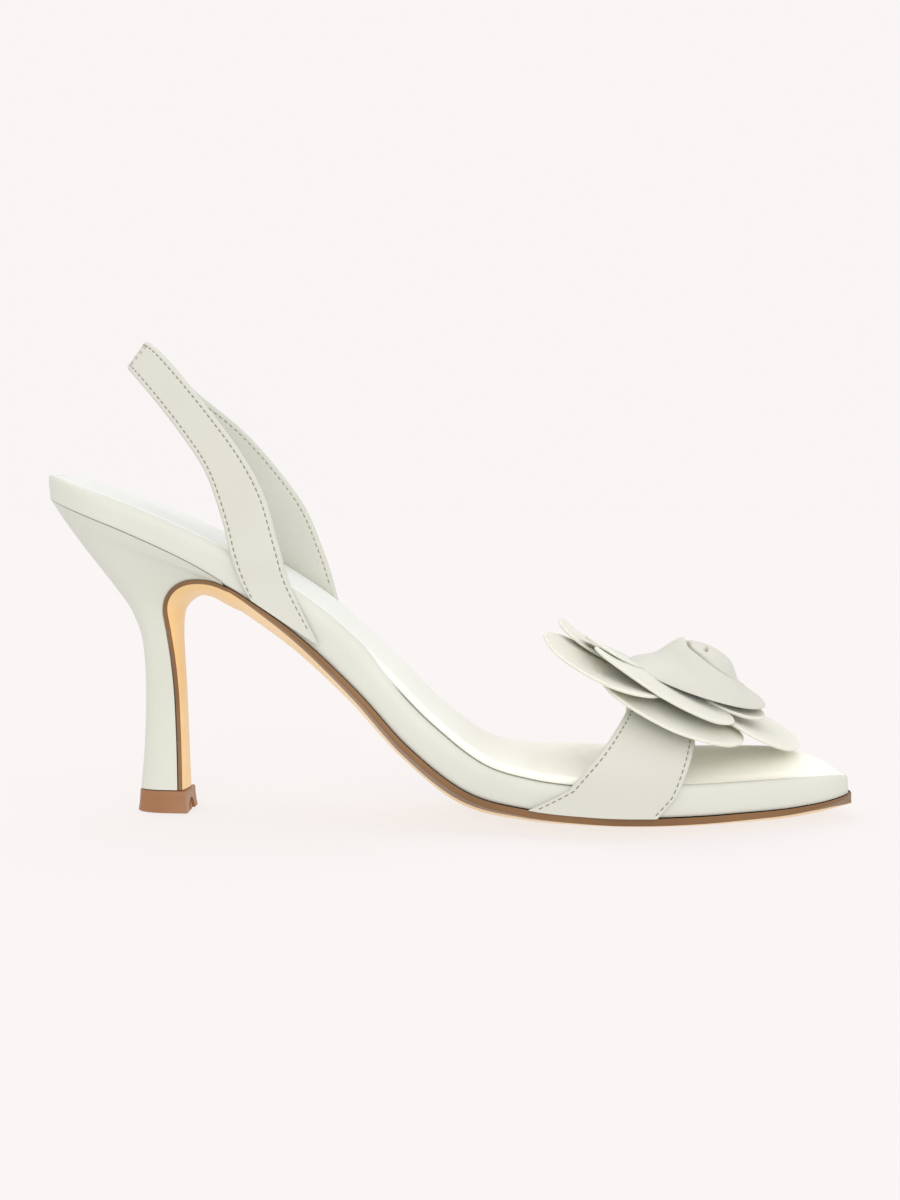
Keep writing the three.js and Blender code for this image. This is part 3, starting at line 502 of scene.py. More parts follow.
def finish(name, light, deep, gloss, grain=1400.0, depth=0.12, folds=None, scuffs=0.0,
           specular=0.4, coat=0.0, scatter=0.0, toe=None):
    """A leather, paint or plastic, between two colours as on a screen.

    gloss is (smoothest, roughest), depth the grain's in millimetres, and toe the colour at the toe.
    On the sock it is creamier, and also brighter as painted light over the shade under the flower.
    """
    material = bpy.data.materials.new(name)
    material.use_nodes = True
    tree = material.node_tree
    shader = tree.nodes["Principled BSDF"]
    plain = {"Specular IOR Level": specular, "Coat Weight": coat, "Coat Roughness": 0.25}
    if scatter:
        plain.update({"Subsurface Weight": scatter, "Subsurface Radius": (1.0, 0.75, 0.5),
                      "Subsurface Scale": SCATTER_REACH * MM})

    def placed(group, inputs):
        made = tree.nodes.new("ShaderNodeGroup")
        made.node_tree = group
        for key, value in inputs.items():
            wire(tree, value, made.inputs[key])
        return made.outputs

    drift = placed(drift_group, {"Light": linear(*light), "Deep": linear(*deep), "Patches per metre": 26.0})
    colour = drift["Color"]
    height = placed(grain_group, {"Cells per metre": grain, "Softness": 0.45})["Height"]
    rough = add_node(tree, "MapRange", "Result",
                     {"To Min": gloss[0], "To Max": gloss[1], "Value": drift["Mask"]})
    # Towards the toe the colour blends into the toe colour: partly a creamier tone, partly painted light.
    if toe:
        colour = blended(tree, placed(length_group, {})["Share"], colour, linear(*toe))
    if scuffs:
        marks = placed(scuff_group, {"Amount": scuffs})["Mask"]
        worn = tuple(WORN_SHADE * c for c in linear(*deep)[:3]) + (1.0,)
        colour = blended(tree, reckon(tree, "MULTIPLY", marks, 0.5), colour, worn)
        rough = reckon(tree, "ADD", rough, reckon(tree, "MULTIPLY", marks, 0.2))
    if folds:
        creases = placed(crease_group, {"Folds per metre": folds[0]})["Height"]
        height = reckon(tree, "ADD", height, reckon(tree, "MULTIPLY", creases, folds[1]))
    relief = add_node(tree, "Bump", "Normal",
                      {"Strength": 1.0, "Distance": depth * MM, "Height": height})
    plain.update({"Base Color": colour, "Roughness": rough, "Normal": relief})
    for key, value in plain.items():
        wire(tree, value, shader.inputs[key])
    return material


# The upper, heel and flower leathers are one white leather; their slightly different colours are painted
# light and shade for each part.
upper_leather = finish("upper_leather", (204, 205, 195), (201, 202, 191), (0.42, 0.5),
                       grain=1700, depth=0.05)
heel_leather = finish("heel_leather", (208, 211, 200), (205, 208, 196), (0.36, 0.44),
                      grain=1800, depth=0.04)
insole_leather = finish("insole_leather", (209, 211, 201), (206, 208, 197), (0.38, 0.46),
                        grain=1700, depth=0.05, folds=(26.0, 0.8))
# The sock's toe colour is creamier and brighter; the extra brightness is painted light where the flower
# shades the sock.
sock_leather = finish("sock_leather", (224, 228, 226), (221, 225, 221), (0.5, 0.6),
                      grain=1300, depth=0.07, folds=(40.0, 0.8), toe=(245, 244, 232))
petal_leather = finish("petal_leather", (219, 220, 210), (215, 216, 205), (0.46, 0.54),
                       grain=1600, depth=0.03, scatter=0.4)
bud_leather = finish("bud_leather", (203, 204, 194), (199, 200, 189), (0.44, 0.52),
                     grain=1600, depth=0.04, scatter=0.15)
sole_tan = finish("sole_tan", (246, 214, 160), (238, 202, 146), (0.3, 0.42),
                  grain=900, depth=0.05, scuffs=0.35, coat=0.1)
sole_edge = finish("sole_edge", (136, 100, 62), (118, 84, 50), (0.34, 0.44),
                   grain=1100, depth=0.05)
tip_plastic = finish("tip_plastic", (158, 114, 78), (146, 101, 66), (0.32, 0.42),
                     grain=700, depth=0.03, scuffs=0.2, scatter=0.25)
# The thread's dark grey-brown is painted shade: sunk into the leather, the stitches read as dark dashes.
thread_in_painted_shade = finish("thread_in_painted_shade", (142, 138, 120), (126, 122, 105), (0.6, 0.7),
                grain=3000, depth=0.04)
print("finishes:", [m.name for m in bpy.data.materials])

# %% [markdown]
# The outsole is one thin sheet. It starts at the toe, follows the last under the waist, bends
# at the front of the heel and runs down the heel's breast. It is a chain of sections along that
# path. The cut edge is a face of its own, painted brown, with a small rounding at the bottom. At
# the waist, where the sole is shaved thin, the paint runs a little way in under the edge.

# %% Outsole
ENDS = 0.03
SOLE_SEAM = 0.08
SOLE_SHAVED = 3
EDGE_ROUND = 0.3
TOP_BEVEL = 0.2
LEAST_PAINT = 0.015
# painted is a share of the half width, and thinned is in millimetres.
BORDER = table("at painted thinned", [
    [0, LEAST_PAINT, 0],
    [0.25, LEAST_PAINT, 0],
    [0.3, 0.05, 0.1],
    [0.36, 0.08, 0.5],
    [0.43, 0.13, 1.0],
    [0.5, 0.16, 1.0],
    [0.56, 0.1, 0.6],
    [0.63, 0.03, 0.1],
    [0.7, LEAST_PAINT, 0],
    [0.9, 0.02, 0],
    [0.97, 0.14, 0],
    [1, 0.5, 0],
])
forepart = places(SHOE_LENGTH + SOLE_MARGIN - ENDS, 2 * HEEL_REACH + 1, 110)
waist = np.linspace(2 * HEEL_REACH, HEEL_REACH + 3, 60)
under = np.concatenate([forepart, waist])
under_at = station(np.minimum(under, SHOE_LENGTH - ENDS))
down = breast(np.linspace(0, LAST_ROW, 130))
bent = np.clip(np.linspace(0, LAST_ROW, 130) / 2, 0, 1)
on_sole = {
    "x": under_at["x"] + np.maximum(0, under - SHOE_LENGTH + ENDS) - under_at["up_x"] * SOLE_SEAM,
    "z": under_at["z"] - under_at["up_z"] * SOLE_SEAM,
    "out_x": -under_at["up_x"],
    "out_z": -under_at["up_z"],
    "outer": half_width(under, -1, SOLE_MARGIN),
    "inner": half_width(under, 1, SOLE_MARGIN),
    "shift": 0 * under,
    "keel": under_at["keel"],
    "thick": SOLE_THICKNESS - curve(BORDER, "thinned", under / SHOE_LENGTH),
    "painted": curve(BORDER, "painted", under / SHOE_LENGTH),
    "edge": under_at["sole_edge"],
}
on_breast = {
    **down,
    "outer": down["half"],
    "inner": down["half"],
    "thick": mix(SOLE_THICKNESS, BREAST_THICKNESS, bent),
    "painted": LEAST_PAINT + 0 * bent,
    "edge": mix(station(HEEL_REACH)["sole_edge"], BREAST_EDGE, bent),
}
path = {key: np.concatenate([on_sole[key], on_breast[key]]) for key in on_sole}
# Each step is: measured from where, how deep, and how far in from the side.
EDGE_STEPS = [("top", TOP_BEVEL / 2, 0.0), ("share", 0.3, 0.0), ("share", 0.5, 0.0),
              ("bottom", EDGE_ROUND, 0.0), ("bottom", 0.09, 0.09), ("bottom", 0.0, EDGE_ROUND)]
across = np.linspace(-1, 1, 25)
profile = [(q, "top", 0.0, TOP_BEVEL) for q in across]
profile += [(1, *step) for step in EDGE_STEPS]
profile += [(q, "tan", 0.0, EDGE_ROUND) for q in across[::-1]]
profile += [(-1, *step) for step in EDGE_STEPS[::-1]]


def sole_rings():
    """One ring a section: top, inner edge, underside, outer edge."""
    columns = []
    for q, start, deep, inset in profile:
        reach = path["outer"] if q < 0 else path["inner"]
        if start == "tan":
            q = q * (1 - path["painted"])
        half = np.maximum(reach - inset, 0.3 * reach)
        y = path["shift"] + q * half
        thick = mix(path["thick"], path["edge"], abs(q) ** SOLE_SHAVED)
        depth = {"top": deep, "share": thick * deep}.get(start, thick - deep)
        out = path["keel"] * bulge(q) + depth
        z = path["z"] + path["out_z"] * out
        if start in ("bottom", "tan"):
            z = np.maximum(z, 0)
        columns.append(np.stack([path["x"] + path["out_x"] * out, y, z], -1))
    return np.stack(columns, 1)


rings = sole_rings()
points, faces = lofted(rings)
columns = rings.shape[1]
first_tan = len(across) + len(EDGE_STEPS)
last_tan = first_tan + len(across) - 2
kinds = [0 if first_tan <= f[0] % columns <= last_tan else 1 for f in faces[:-2]] + [1, 0]
make_piece("outsole_sheet", points, faces, [sole_tan, sole_edge], "outsole", kinds)

# %% [markdown]
# The heel is a moulded block wrapped in the upper's leather. Its sections turn from the slope of
# the seat, where the foot's weight comes down, to level at the tip. Each section is blunt in
# front, where the sole lies, and round behind.

# %% Heel
SQUARENESS, ROUNDNESS = 3, 2.2
SEAM = 0.09
BACKWARD = 40
FRONT = 24


def shaft_shape(a):
    return (1 - a**SQUARENESS) ** (1 / ROUNDNESS)


def heel_ring(row, on_seat=False):
    """One section of the heel, from its blunt front round its back."""
    b = breast(row)
    base = 0 if on_seat else row
    back_along, back_up = by_row(HEEL, base, "backAlong", "backUp")
    back_x, back_z = HEEL_REACH * back_along, mix(TIP_HEIGHT + GAP, SEAT_HEIGHT, back_up)
    seat_front = float(breast(HEEL_FRONT_ROW)["x"])
    seat_share = curve(HEEL, "seat", row, "row")
    follow = max(0, 1 - row) ** 2
    q = np.linspace(-1, 1, FRONT + 1)
    a = np.sin(np.pi / 2 * np.arange(1, BACKWARD + 1) / BACKWARD)
    seat_x = mix(seat_front, GAP, a)
    if on_seat:
        s = station(b["x"])
        half = half_width(b["x"], q, -SEAM)
        front = raised(s, q * half, -SEAM - s["keel"] * bulge(q))
    else:
        out = b["keel"] * bulge(q) - GAP
        front = np.stack([b["x"] + b["out_x"] * out, b["shift"] + q * b["half"],
                          b["z"] + b["out_z"] * out], -1)

    def side(sign):
        seat_half = half_width(seat_x, sign, -SEAM)
        if on_seat:
            return raised(station(seat_x), sign * seat_half, -SEAM)
        seat_shape = seat_half / half_width(seat_front, sign, -SEAM)
        shape = mix(shaft_shape(a), seat_shape, seat_share)
        x = mix(b["x"] - b["out_x"] * GAP, back_x, a)
        level = mix(b["z"] - b["out_z"] * GAP, back_z, a)
        rise = edge_height(seat_x) - mix(edge_height(seat_front), edge_height(GAP), a)
        return np.stack([x, b["shift"] + sign * b["half"] * shape, level + rise * follow], -1)

    return np.concatenate([front, side(1), side(-1)[:-1][::-1]])


body_rows = np.concatenate([np.linspace(HEEL_FRONT_ROW, 5, 70), np.linspace(5, LAST_ROW, 50)[1:]])
seat = heel_ring(HEEL_FRONT_ROW, True)
rings = np.stack([seat] + [heel_ring(row) for row in body_rows])
points, faces = lofted(rings)
faces = faces[:-2] + faces[-1:]
q = np.linspace(-1, 1, FRONT + 1)
seat_rows = [seat[:FRONT + 1]]
for j in range(1, BACKWARD + 1):
    inner_point = seat[FRONT + j]
    outer_point = inner_point if j == BACKWARD else seat[len(seat) - j]
    x = mix(float(breast(HEEL_FRONT_ROW)["x"]), GAP, np.sin(np.pi / 2 * j / BACKWARD))
    s = station(x)
    row = raised(s, q * half_width(x, q, -SEAM), -SEAM - s["keel"] * bulge(q))
    row[0], row[-1] = outer_point, inner_point
    seat_rows.append(row)
start = len(points)
points = np.concatenate([points, np.concatenate(seat_rows)])
faces += grid_faces(len(seat_rows), FRONT + 1, start)
make_piece("heel_block", points, faces, [heel_leather], "heel", sharp=50)

# %% [markdown]
# The heel tip is the moulded plastic block that meets the ground. It flares a little at its
# foot, and its front has an arched notch with a pin in it, which is where the mould held it.
# The notch is cut by a Boolean, the plainest way to take a round bite out of a block.

# %% Heel tip
NOTCH_RADIUS = 3.5
NOTCH_DEPTH = 1.0
PIN_RADIUS, PIN_LIFT, PIN_TALL = 1.1, 0.05, 1.9
TIP_SHARP = 50


def tip_ring(z, grow):
    front = foot["x"] + BREAST_THICKNESS + TIP_OVERHANG + grow
    back = HEEL_REACH * HEEL["backAlong"][-1] - TIP_OVERHANG - grow
    half = foot["half"] + TIP_OVERHANG + grow
    a = np.sin(np.pi / 2 * np.arange(0, BACKWARD + 1) / BACKWARD)
    shape = half * shaft_shape(a)
    one, other = (np.stack([mix(front, back, a), foot["shift"] + side * shape, 0 * a + z], -1)
                  for side in (-1, 1))
    return np.concatenate([one[:-1], other[::-1]])


levels = [(0.0, TIP_FLARE - 0.25), (0.25, TIP_FLARE), (0.7, TIP_FLARE * 0.85), (1.6, TIP_FLARE * 0.6),
          (3.2, TIP_FLARE * 0.3), (5.0, 0.05), (TIP_HEIGHT - 0.35, 0.0), (TIP_HEIGHT, -0.3)]
points, faces = lofted([tip_ring(z, grow) for z, grow in levels])
tip = make_piece("heel_tip_block", points, faces, [tip_plastic], "heel_tip",
                 sharp=TIP_SHARP)


def cylinder(name, radius, depth, centre, sides=48):
    """A plain cylinder along x, in drawing millimetres."""
    angle = np.linspace(0, 2 * np.pi, sides, endpoint=False)
    ring = np.stack([0 * angle, radius * np.cos(angle), radius * np.sin(angle)], -1)
    ends = [ring + centre - [depth / 2, 0, 0], ring + centre + [depth / 2, 0, 0]]
    mesh = bpy.data.meshes.new(name)
    flat, sheet = lofted(ends)
    mesh.from_pydata(((flat + SHIFT) * MM).tolist(), [], sheet)
    return add_object(name, mesh)


front_x = float(foot["x"]) + BREAST_THICKNESS + TIP_OVERHANG + TIP_FLARE
cutter = cylinder("notch_cutter", NOTCH_RADIUS, 2 * NOTCH_DEPTH,
                  np.array([front_x, float(foot["shift"]), 0.2]))
cut = tip.modifiers.new("notch", "BOOLEAN")
cut.object = cutter
cut.solver = "EXACT"
graph = bpy.context.evaluated_depsgraph_get()
carved = bpy.data.meshes.new_from_object(tip.evaluated_get(graph))
tip.modifiers.clear()
tip.data = carved
bpy.data.objects.remove(cutter)
work = bmesh.new()
work.from_mesh(carved)
mark_sharp(work, TIP_SHARP)
work.to_mesh(carved)
work.free()
angle = np.linspace(0, np.pi, 17)
pin_ends = [(NOTCH_DEPTH + 0.3, PIN_RADIUS), (0.55, PIN_RADIUS), (0.4, PIN_RADIUS - 0.15)]
pin = [np.stack([0 * angle + front_x - back, r * np.cos(angle) + float(foot["shift"]),
                 PIN_LIFT + PIN_TALL * r * np.sin(angle)], -1) for back, r in pin_ends]
points, faces = lofted(pin)
make_piece("heel_tip_pin", points, faces, [tip_plastic])

# %% [markdown]
# The insole is a stiff board with padding on top, wrapped in white leather. Its wall is softly
# rounded at the top. At the heel and at the toe the cover comes up as a low rim that hides the
# sock's edge; along the waist and the ball the sock lies on top and a thin line parts the two.

# %% Insole
WALL_PROFILE = [(0.12, 0.02), (0.02, 0.1), (-0.03, 0.22), (-0.1, 0.4), (-0.15, 0.58), (-0.12, 0.7),
                (-0.02, 0.78), (0.12, 0.85), (0.34, 0.91), (0.62, 0.95), (1.0, 0.98), (1.5, 1.0)]
RIM_SHARE = 0.9
RIM_STEEPNESS = 6
END_RUN = 9.0
COVER_UNDER, COVER_TOP = 0.985, 1.5


def rimmed_at(x):
    """Where the cover stands up as a rim: at the heel and in front of the vamp strap."""
    at = x / SHOE_LENGTH
    return np.maximum(1 - ease(at, 0.37, 0.43), ease(at, 0.66, 0.74))


def padding_at(x):
    """Share of the sock's thickness left where it runs out at the heel's back and at the toe."""
    near_end = np.clip(np.minimum(x, SHOE_LENGTH - x) / END_RUN, 0, 1)
    return mix(0.2, 1, np.sqrt(1 - (1 - near_end) ** 2))


def rim_rise(x):
    return rimmed_at(x) * (GAP + RIM_SHARE * SOCK_THICKNESS) * padding_at(x)


def shrunk(full, inset):
    return np.maximum(full - inset, full * 0.35)


def layer_side(s, sign, profile, inset, base, tall):
    """One side of a layer. The profile's rows are insets and shares of the layer's height."""
    more, up = np.array(profile).T[:, None, :]
    return raised(s, sign * shrunk(half_width(s["x"], sign), inset + more), base + tall * up)


x = places(ENDS, SHOE_LENGTH - ENDS, 240)[:, None]
s = station(x)
wall_top = s["wall"] + rim_rise(x)
q = np.linspace(-1, 1, 33)[None, :]
below = raised(s, q * COVER_UNDER * half_width(x, q), -s["keel"] * bulge(q))
sides = [layer_side(s, sign, WALL_PROFILE, 0, 0, wall_top) for sign in (1, -1)]
q = np.linspace(0.94, -0.94, 17)[None, :]
sink = np.minimum(1, (1 - np.abs(q)) * RIM_STEEPNESS)
above = raised(s, q * shrunk(half_width(x, q), COVER_TOP), wall_top - rim_rise(x) * sink)
rings = np.concatenate([below, sides[0], above, sides[1][:, ::-1]], 1)
points, faces = lofted(rings)
make_piece("insole_cover", points, faces, [insole_leather], "insole", sharp=60)

# %% [markdown]
# The sock is the soft lining that the foot stands on, a little padded in the middle. Its edge is
# turned under, and in front of the strap it swells a little more. Real socks crease lightly where
# the ball of the foot bends them, so a few shallow folds run across it there.

# %% Sock
SOCK_PROFILE = [(0.08, 0.1), (0.0, 0.28), (0.06, 0.5), (0.24, 0.72), (0.55, 0.88),
                (1.0, 0.97), (1.5, 1.0)]
SOCK_INSET, RIMMED_INSET, TURNED_UNDER, TOP_INSET = 0.9, 1.25, 0.3, 2.2
FULLNESS = 2.4
CREASES = [(150.0, 26.0, 0.22, 2.2), (156.5, -20.0, 0.16, 1.8), (164.0, 14.0, 0.2, 2.4),
           (143.0, 8.0, 0.14, 2.0)]
FORE = table("at swell", [
    [0, 0],
    [0.68, 0],
    [0.74, 0.8],
    [0.8, 2.0],
    [0.86, 2.6],
    [0.92, 3.2],
    [0.955, 3.4],
    [0.98, 2.8],
    [1, 0.8],
])


def crease_depth(x, y):
    """Shallow folds across the sock: place, slant, depth and width of each."""
    total = 0 * (x + y)
    for where, slant, depth, width in CREASES:
        line = where + slant * y / BALL_WIDTH + 1.5 * np.sin(y / 9 + where)
        total = total + depth * np.exp(-(((x - line) / width) ** 2))
    return total


x = places(0.6, SHOE_LENGTH - 0.6, 240)[:, None]
s = station(x)
inset = mix(SOCK_INSET, RIMMED_INSET, rimmed_at(x))
base = s["wall"] + GAP * padding_at(x)
padding = SOCK_THICKNESS * padding_at(x)
q = np.linspace(-1, 1, 9)[None, :]
below = raised(s, q * shrunk(half_width(x, q), inset + TURNED_UNDER), base)
sides = [layer_side(s, sign, SOCK_PROFILE, inset, base, padding) for sign in (1, -1)]
q = np.linspace(0.93, -0.93, 41)[None, :]
y = q * shrunk(half_width(x, q), TOP_INSET)
crown = s["crown"] + curve(FORE, "swell", x / SHOE_LENGTH)
top = base + padding + padding_at(x) * crown * (1 - np.abs(q) ** FULLNESS) - crease_depth(x, y)
rings = np.concatenate([below, sides[0], raised(s, y, top), sides[1][:, ::-1]], 1)
points, faces = lofted(rings)
sock = make_piece("sock_lining", points, faces, [sock_leather], "sock", sharp=60)

# %% [markdown]
# Both straps are two layers of leather with folded, stitched edges. Their edges are round, and
# the stitch line pulls the leather down a little, so a low roll stands outside it. A strap is
# a surface that is walked along and across, with its thickness laid on both sides of it.

# %% Strap helper
STAND = 1.5 * GAP + STRAP_THICKNESS / 2
STITCH_PITCH = 1.95
STITCH_LONG, STITCH_WIDE, STITCH_TALL = 1.4, 0.32, 0.26
STITCH_SUNK, CROSS_SUNK = 0.06, 0.03
GROOVE_DEPTH, GROOVE_WIDTH = 0.1, 0.3
EDGE_PLACES = [0, 0.04, 0.16, 0.36, 0.62, 0.9]
GROOVE_PLACES = np.array([-0.34, -0.17, 0, 0.17, 0.34, 0.7, 1.4])


def directions(point_at, s, e):
    """Unit normals, outward, of a strap's surface."""
    d = 0.003
    over = point_at(s, np.minimum(e + d, 1)) - point_at(s, np.maximum(e - d, 0))
    along = point_at(np.minimum(s + d, 1), e) - point_at(np.maximum(s - d, 0), e)
    normal = np.cross(over, along)
    return normal / np.linalg.norm(normal, axis=-1, keepdims=True)


def strap_width(point_at, s):
    """Width of the strap at s, measured over a fine line from edge to edge."""
    e = np.linspace(0, 1, 25)
    line = point_at(s[:, None] + 0 * e[None, :], e[None, :] + 0 * s[:, None])
    return np.linalg.norm(np.diff(line, axis=1), axis=-1).sum(1)


def strap_form(point_at, steps, inset, middle=16):
    """Points and faces of a strap with round edges and stitch grooves."""
    s = np.linspace(0, 1, steps + 1)
    width = strap_width(point_at, s)
    edge = np.concatenate([EDGE_PLACES, inset + GROOVE_PLACES])
    left = edge[None, :] / width[:, None]
    inner = np.linspace(0, 1, middle + 2)[None, 1:-1]
    e = np.concatenate([left, mix(left[:, -1:], 1 - left[:, -1:], inner), 1 - left[:, ::-1]], 1)
    far = np.minimum(e, 1 - e) * width[:, None]
    half = STRAP_THICKNESS / 2
    rounded = np.sqrt(np.maximum(0, 1 - (1 - np.minimum(far / half, 1)) ** 2))
    groove = GROOVE_DEPTH * np.exp(-(((far - inset) / GROOVE_WIDTH) ** 2))
    grid_s = s[:, None] + 0 * e
    surface = point_at(grid_s, e)
    normal = directions(point_at, grid_s, e)
    outside = surface + normal * (half * rounded - groove)[..., None]
    inside = surface - normal * (half * rounded - 0.5 * groove)[..., None]
    rings = np.concatenate([outside, inside[:, ::-1]], 1)
    rows, columns = rings.shape[:2]
    faces = grid_faces(rows, columns, closed=True)
    half_ring = columns // 2
    for first in (0, (rows - 1) * columns):
        faces += [(first + j, first + j + 1, first + columns - 2 - j, first + columns - 1 - j)
                  for j in range(half_ring - 1)]
    return rings.reshape(-1, 3), faces


def capsule(centre, along, out, long, wide, tall):
    """A short rounded stitch that lies along one direction."""
    side = np.cross(out, along)
    t = np.linspace(-1, 1, 7)
    around = np.linspace(0, 2 * np.pi, 8, endpoint=False)
    girth = np.sqrt(np.maximum(0.02, 1 - np.abs(t) ** 3))[:, None]
    length = (t * long / 2)[:, None] + 0 * around[None, :]
    across_part = girth * np.cos(around)[None, :] * wide / 2
    up_part = girth * np.sin(around)[None, :] * tall / 2 - (np.abs(t) ** 5 * 0.08)[:, None]
    return (centre + length[..., None] * along + across_part[..., None] * side
            + up_part[..., None] * out)


def sew(name, rows):
    """Stitches along lines. Each row is (points, normals) of a finely drawn line."""
    points, faces = [], []
    count = 0
    for line, normal in rows:
        run = np.concatenate([[0], np.cumsum(np.linalg.norm(np.diff(line, axis=0), axis=1))])
        stops = np.arange(STITCH_PITCH / 2, run[-1], STITCH_PITCH)
        for stop in stops:
            def at(where, values):
                return np.array([np.interp(where, run, values[:, k]) for k in range(3)])
            ahead = at(stop + 0.3, line) - at(stop - 0.3, line)
            ahead /= np.linalg.norm(ahead)
            out = at(stop, normal)
            out -= ahead * out.dot(ahead)
            out /= np.linalg.norm(out)
            middle = at(stop, line)
            form, sheet = lofted(capsule(middle, ahead, out, STITCH_LONG, STITCH_WIDE, STITCH_TALL))
            points.append(form)
            faces += [tuple(count + k for k in f) for f in sheet]
            count += len(form)
    return make_piece(name, np.concatenate(points), faces, [thread_in_painted_shade], sharp=180)


def edge_row(point_at, side, span, inset, face=1):
    """A line at one edge of a strap, on its outer face or its inner one, -1, from place to place."""
    s = np.linspace(span[0], span[1], 260)
    share = inset / strap_width(point_at, s)
    e = share if side == "back" else 1 - share
    normal = directions(point_at, s, e) * face
    return point_at(s, e) + normal * (STRAP_THICKNESS / 2 - STITCH_SUNK), normal


# %% [markdown]
# The vamp strap crosses the forefoot at a slant. It comes out from between the sole and the
# insole on the outer side, climbs the insole's wall, arches over the foot and goes down again
# on the inner side. The arch is flatter on top than a circle, as a strap on a real last is.

# %% Vamp strap
SHOULDER, ARCH_SIDES, ARCH_TOP, ARCH_START = 0.9, 0.9, 0.8, 1.25
ROOT_LIFT = 0.1


def vamp_top(x):
    """Height of the strap's crown. It falls towards the toe."""
    return VAMP_HEIGHT - STRAP_THICKNESS / 2 - VAMP_FALL * (x - VAMP_BACK * SHOE_LENGTH)


def vamp_point(s, e):
    across = np.asarray(s, float)
    x = SHOE_LENGTH * mix(curve(VAMP, "back", across, "across"), curve(VAMP, "front", across, "across"), e)
    at = station(x)
    outer = half_width(x, -1) + STAND
    inner = half_width(x, 1) + STAND
    shoulder = at["wall"] * SHOULDER
    end = np.minimum(across, 1 - across) / WALL_SHARE
    on_wall = raised(at, np.where(across < 0.5, -outer, inner), mix(ROOT_LIFT, shoulder, np.minimum(end, 1)))
    away = np.clip((end - 1) / (0.5 / WALL_SHARE - 1), 0, 1)
    turn = np.where(across < 0.5, np.pi / 2 * away**ARCH_START, np.pi - np.pi / 2 * away**ARCH_START)
    swing = np.sign(np.cos(turn)) * np.abs(np.cos(turn)) ** ARCH_SIDES
    z = mix(at["z"] + shoulder, vamp_top(x), np.maximum(np.sin(turn), 0) ** ARCH_TOP)
    over = np.stack([x + at["up_x"] * shoulder, (inner - outer) / 2 - (outer + inner) / 2 * swing, z], -1)
    return np.where((end <= 1)[..., None], on_wall, over)


VAMP_INSET = 1.6
points, faces = strap_form(vamp_point, 260, VAMP_INSET)
make_piece("vamp_band", points, faces, [upper_leather], "vamp_strap", sharp=70)
sew("vamp_stitches", [edge_row(vamp_point, side, (0.012, 0.985), VAMP_INSET)
                      for side in ("back", "front")])

# %% [markdown]
# The sling strap holds the back of the foot. It is sewn in between sole and insole at both sides
# of the waist, and goes round behind the heel in one band. Two more rows of stitches cross it
# at the very back, where the maker closes the two halves over a short piece of elastic.

# %% Sling strap
ROOT_END = 0.4


def sling_point(s, e):
    row = np.asarray(s, float) * (len(SLING["row"]) - 1)
    root_x = SLING_ROOT_AT * SHOE_LENGTH
    back, back_up, front, front_up, out = by_row(
        SLING, row, "backAlong", "backUp", "frontAlong", "frontUp", "out")
    x = SHOE_LENGTH * mix(back, front, e)
    up = mix(back_up, front_up, e)
    near_root = np.clip(1 - up / ROOT_END, 0, 1)
    wall = half_width(mix(root_x, x, near_root), np.sign(out))
    low = raised(station(x), 0 * x, ROOT_LIFT)[..., 2]
    z = np.maximum(edge_height(root_x) + SLING_HEIGHT * up, low)
    return np.stack([x, out * (wall + STAND), z], -1)


SLING_INSET = 1.4
points, faces = strap_form(sling_point, 420, SLING_INSET, middle=8)
make_piece("sling_band", points, faces, [upper_leather], "sling_strap", sharp=70)


def cross_row(place):
    """A line across the sling at one place along it."""
    e = np.linspace(0.14, 0.86, 40)
    s = place + 0 * e
    normal = directions(sling_point, s, e)
    return sling_point(s, e) + normal * (STRAP_THICKNESS / 2 - CROSS_SUNK), normal


lines = [edge_row(sling_point, side, span, SLING_INSET, face)
         for span, face in [((0.014, 0.98), 1), ((0.06, 0.94), -1)] for side in ("back", "front")]
sew("sling_stitches", lines + [cross_row(place) for place in (0.466, 0.474, 0.545, 0.553)])

# %% [markdown]
# The flower is cut from the same leather: five wide petals below, four smaller ones above, and
# a rolled bud. A petal is a thin sheet. It is laid out as a disc of quads pulled into a petal's
# outline, bent, then thickened and softened by modifiers, which also round its rim.

# %% Petals
OUTER_PETALS = table("turn reach width lift climb cup curl skew", [
    [0, 1.1, 1.14, 1.4, -1.3, 0.1, 0.8, 2.6],
    [86, 0.95, 1.04, 1.4, -8.8, 0.8, 1.0, -0.6],
    [147, 1.04, 1.12, 1.5, -3.7, 1.3, 1.8, -3.3],
    [204, 1.0, 0.62, 1.2, 2.6, 0.1, 3.6, 1.2],
    [288, 0.92, 1.0, 1.4, -3.2, 0.8, 1.5, 0.4],
])
INNER_PETALS = table("turn reach width lift climb cup curl skew", [
    [14, 0.78, 0.64, 3.8, 0.0, 0.2, 0.6, 1.8],
    [98, 0.8, 1.04, 4.2, -3.9, 0.7, 0.4, -3.5],
    [188, 0.71, 0.94, 3.7, 1.6, 0.2, 0.6, 1.6],
    [266, 0.74, 0.9, 4.4, -2.0, 0.4, 0.6, 0.4],
])
WIDEST = 0.6
flower_x = FLOWER_AT * SHOE_LENGTH
crown_at = station(flower_x)
crown_x = flower_x + crown_at["up_x"] * crown_at["wall"] * SHOULDER
FLOWER_BASE = np.array([float(crown_x), 0.0, vamp_top(flower_x) + STRAP_THICKNESS / 2 + FLOWER_SEAT])


def in_flower(points):
    """From the flower's own axes to the drawing: tilted towards the toe, on the strap's crown."""
    tilt = math.radians(FLOWER_TILT)
    x, y, z = points[..., 0], points[..., 1], points[..., 2]
    turned = np.stack([x * math.cos(tilt) + z * math.sin(tilt), y,
                       z * math.cos(tilt) - x * math.sin(tilt)], -1)
    return turned + FLOWER_BASE


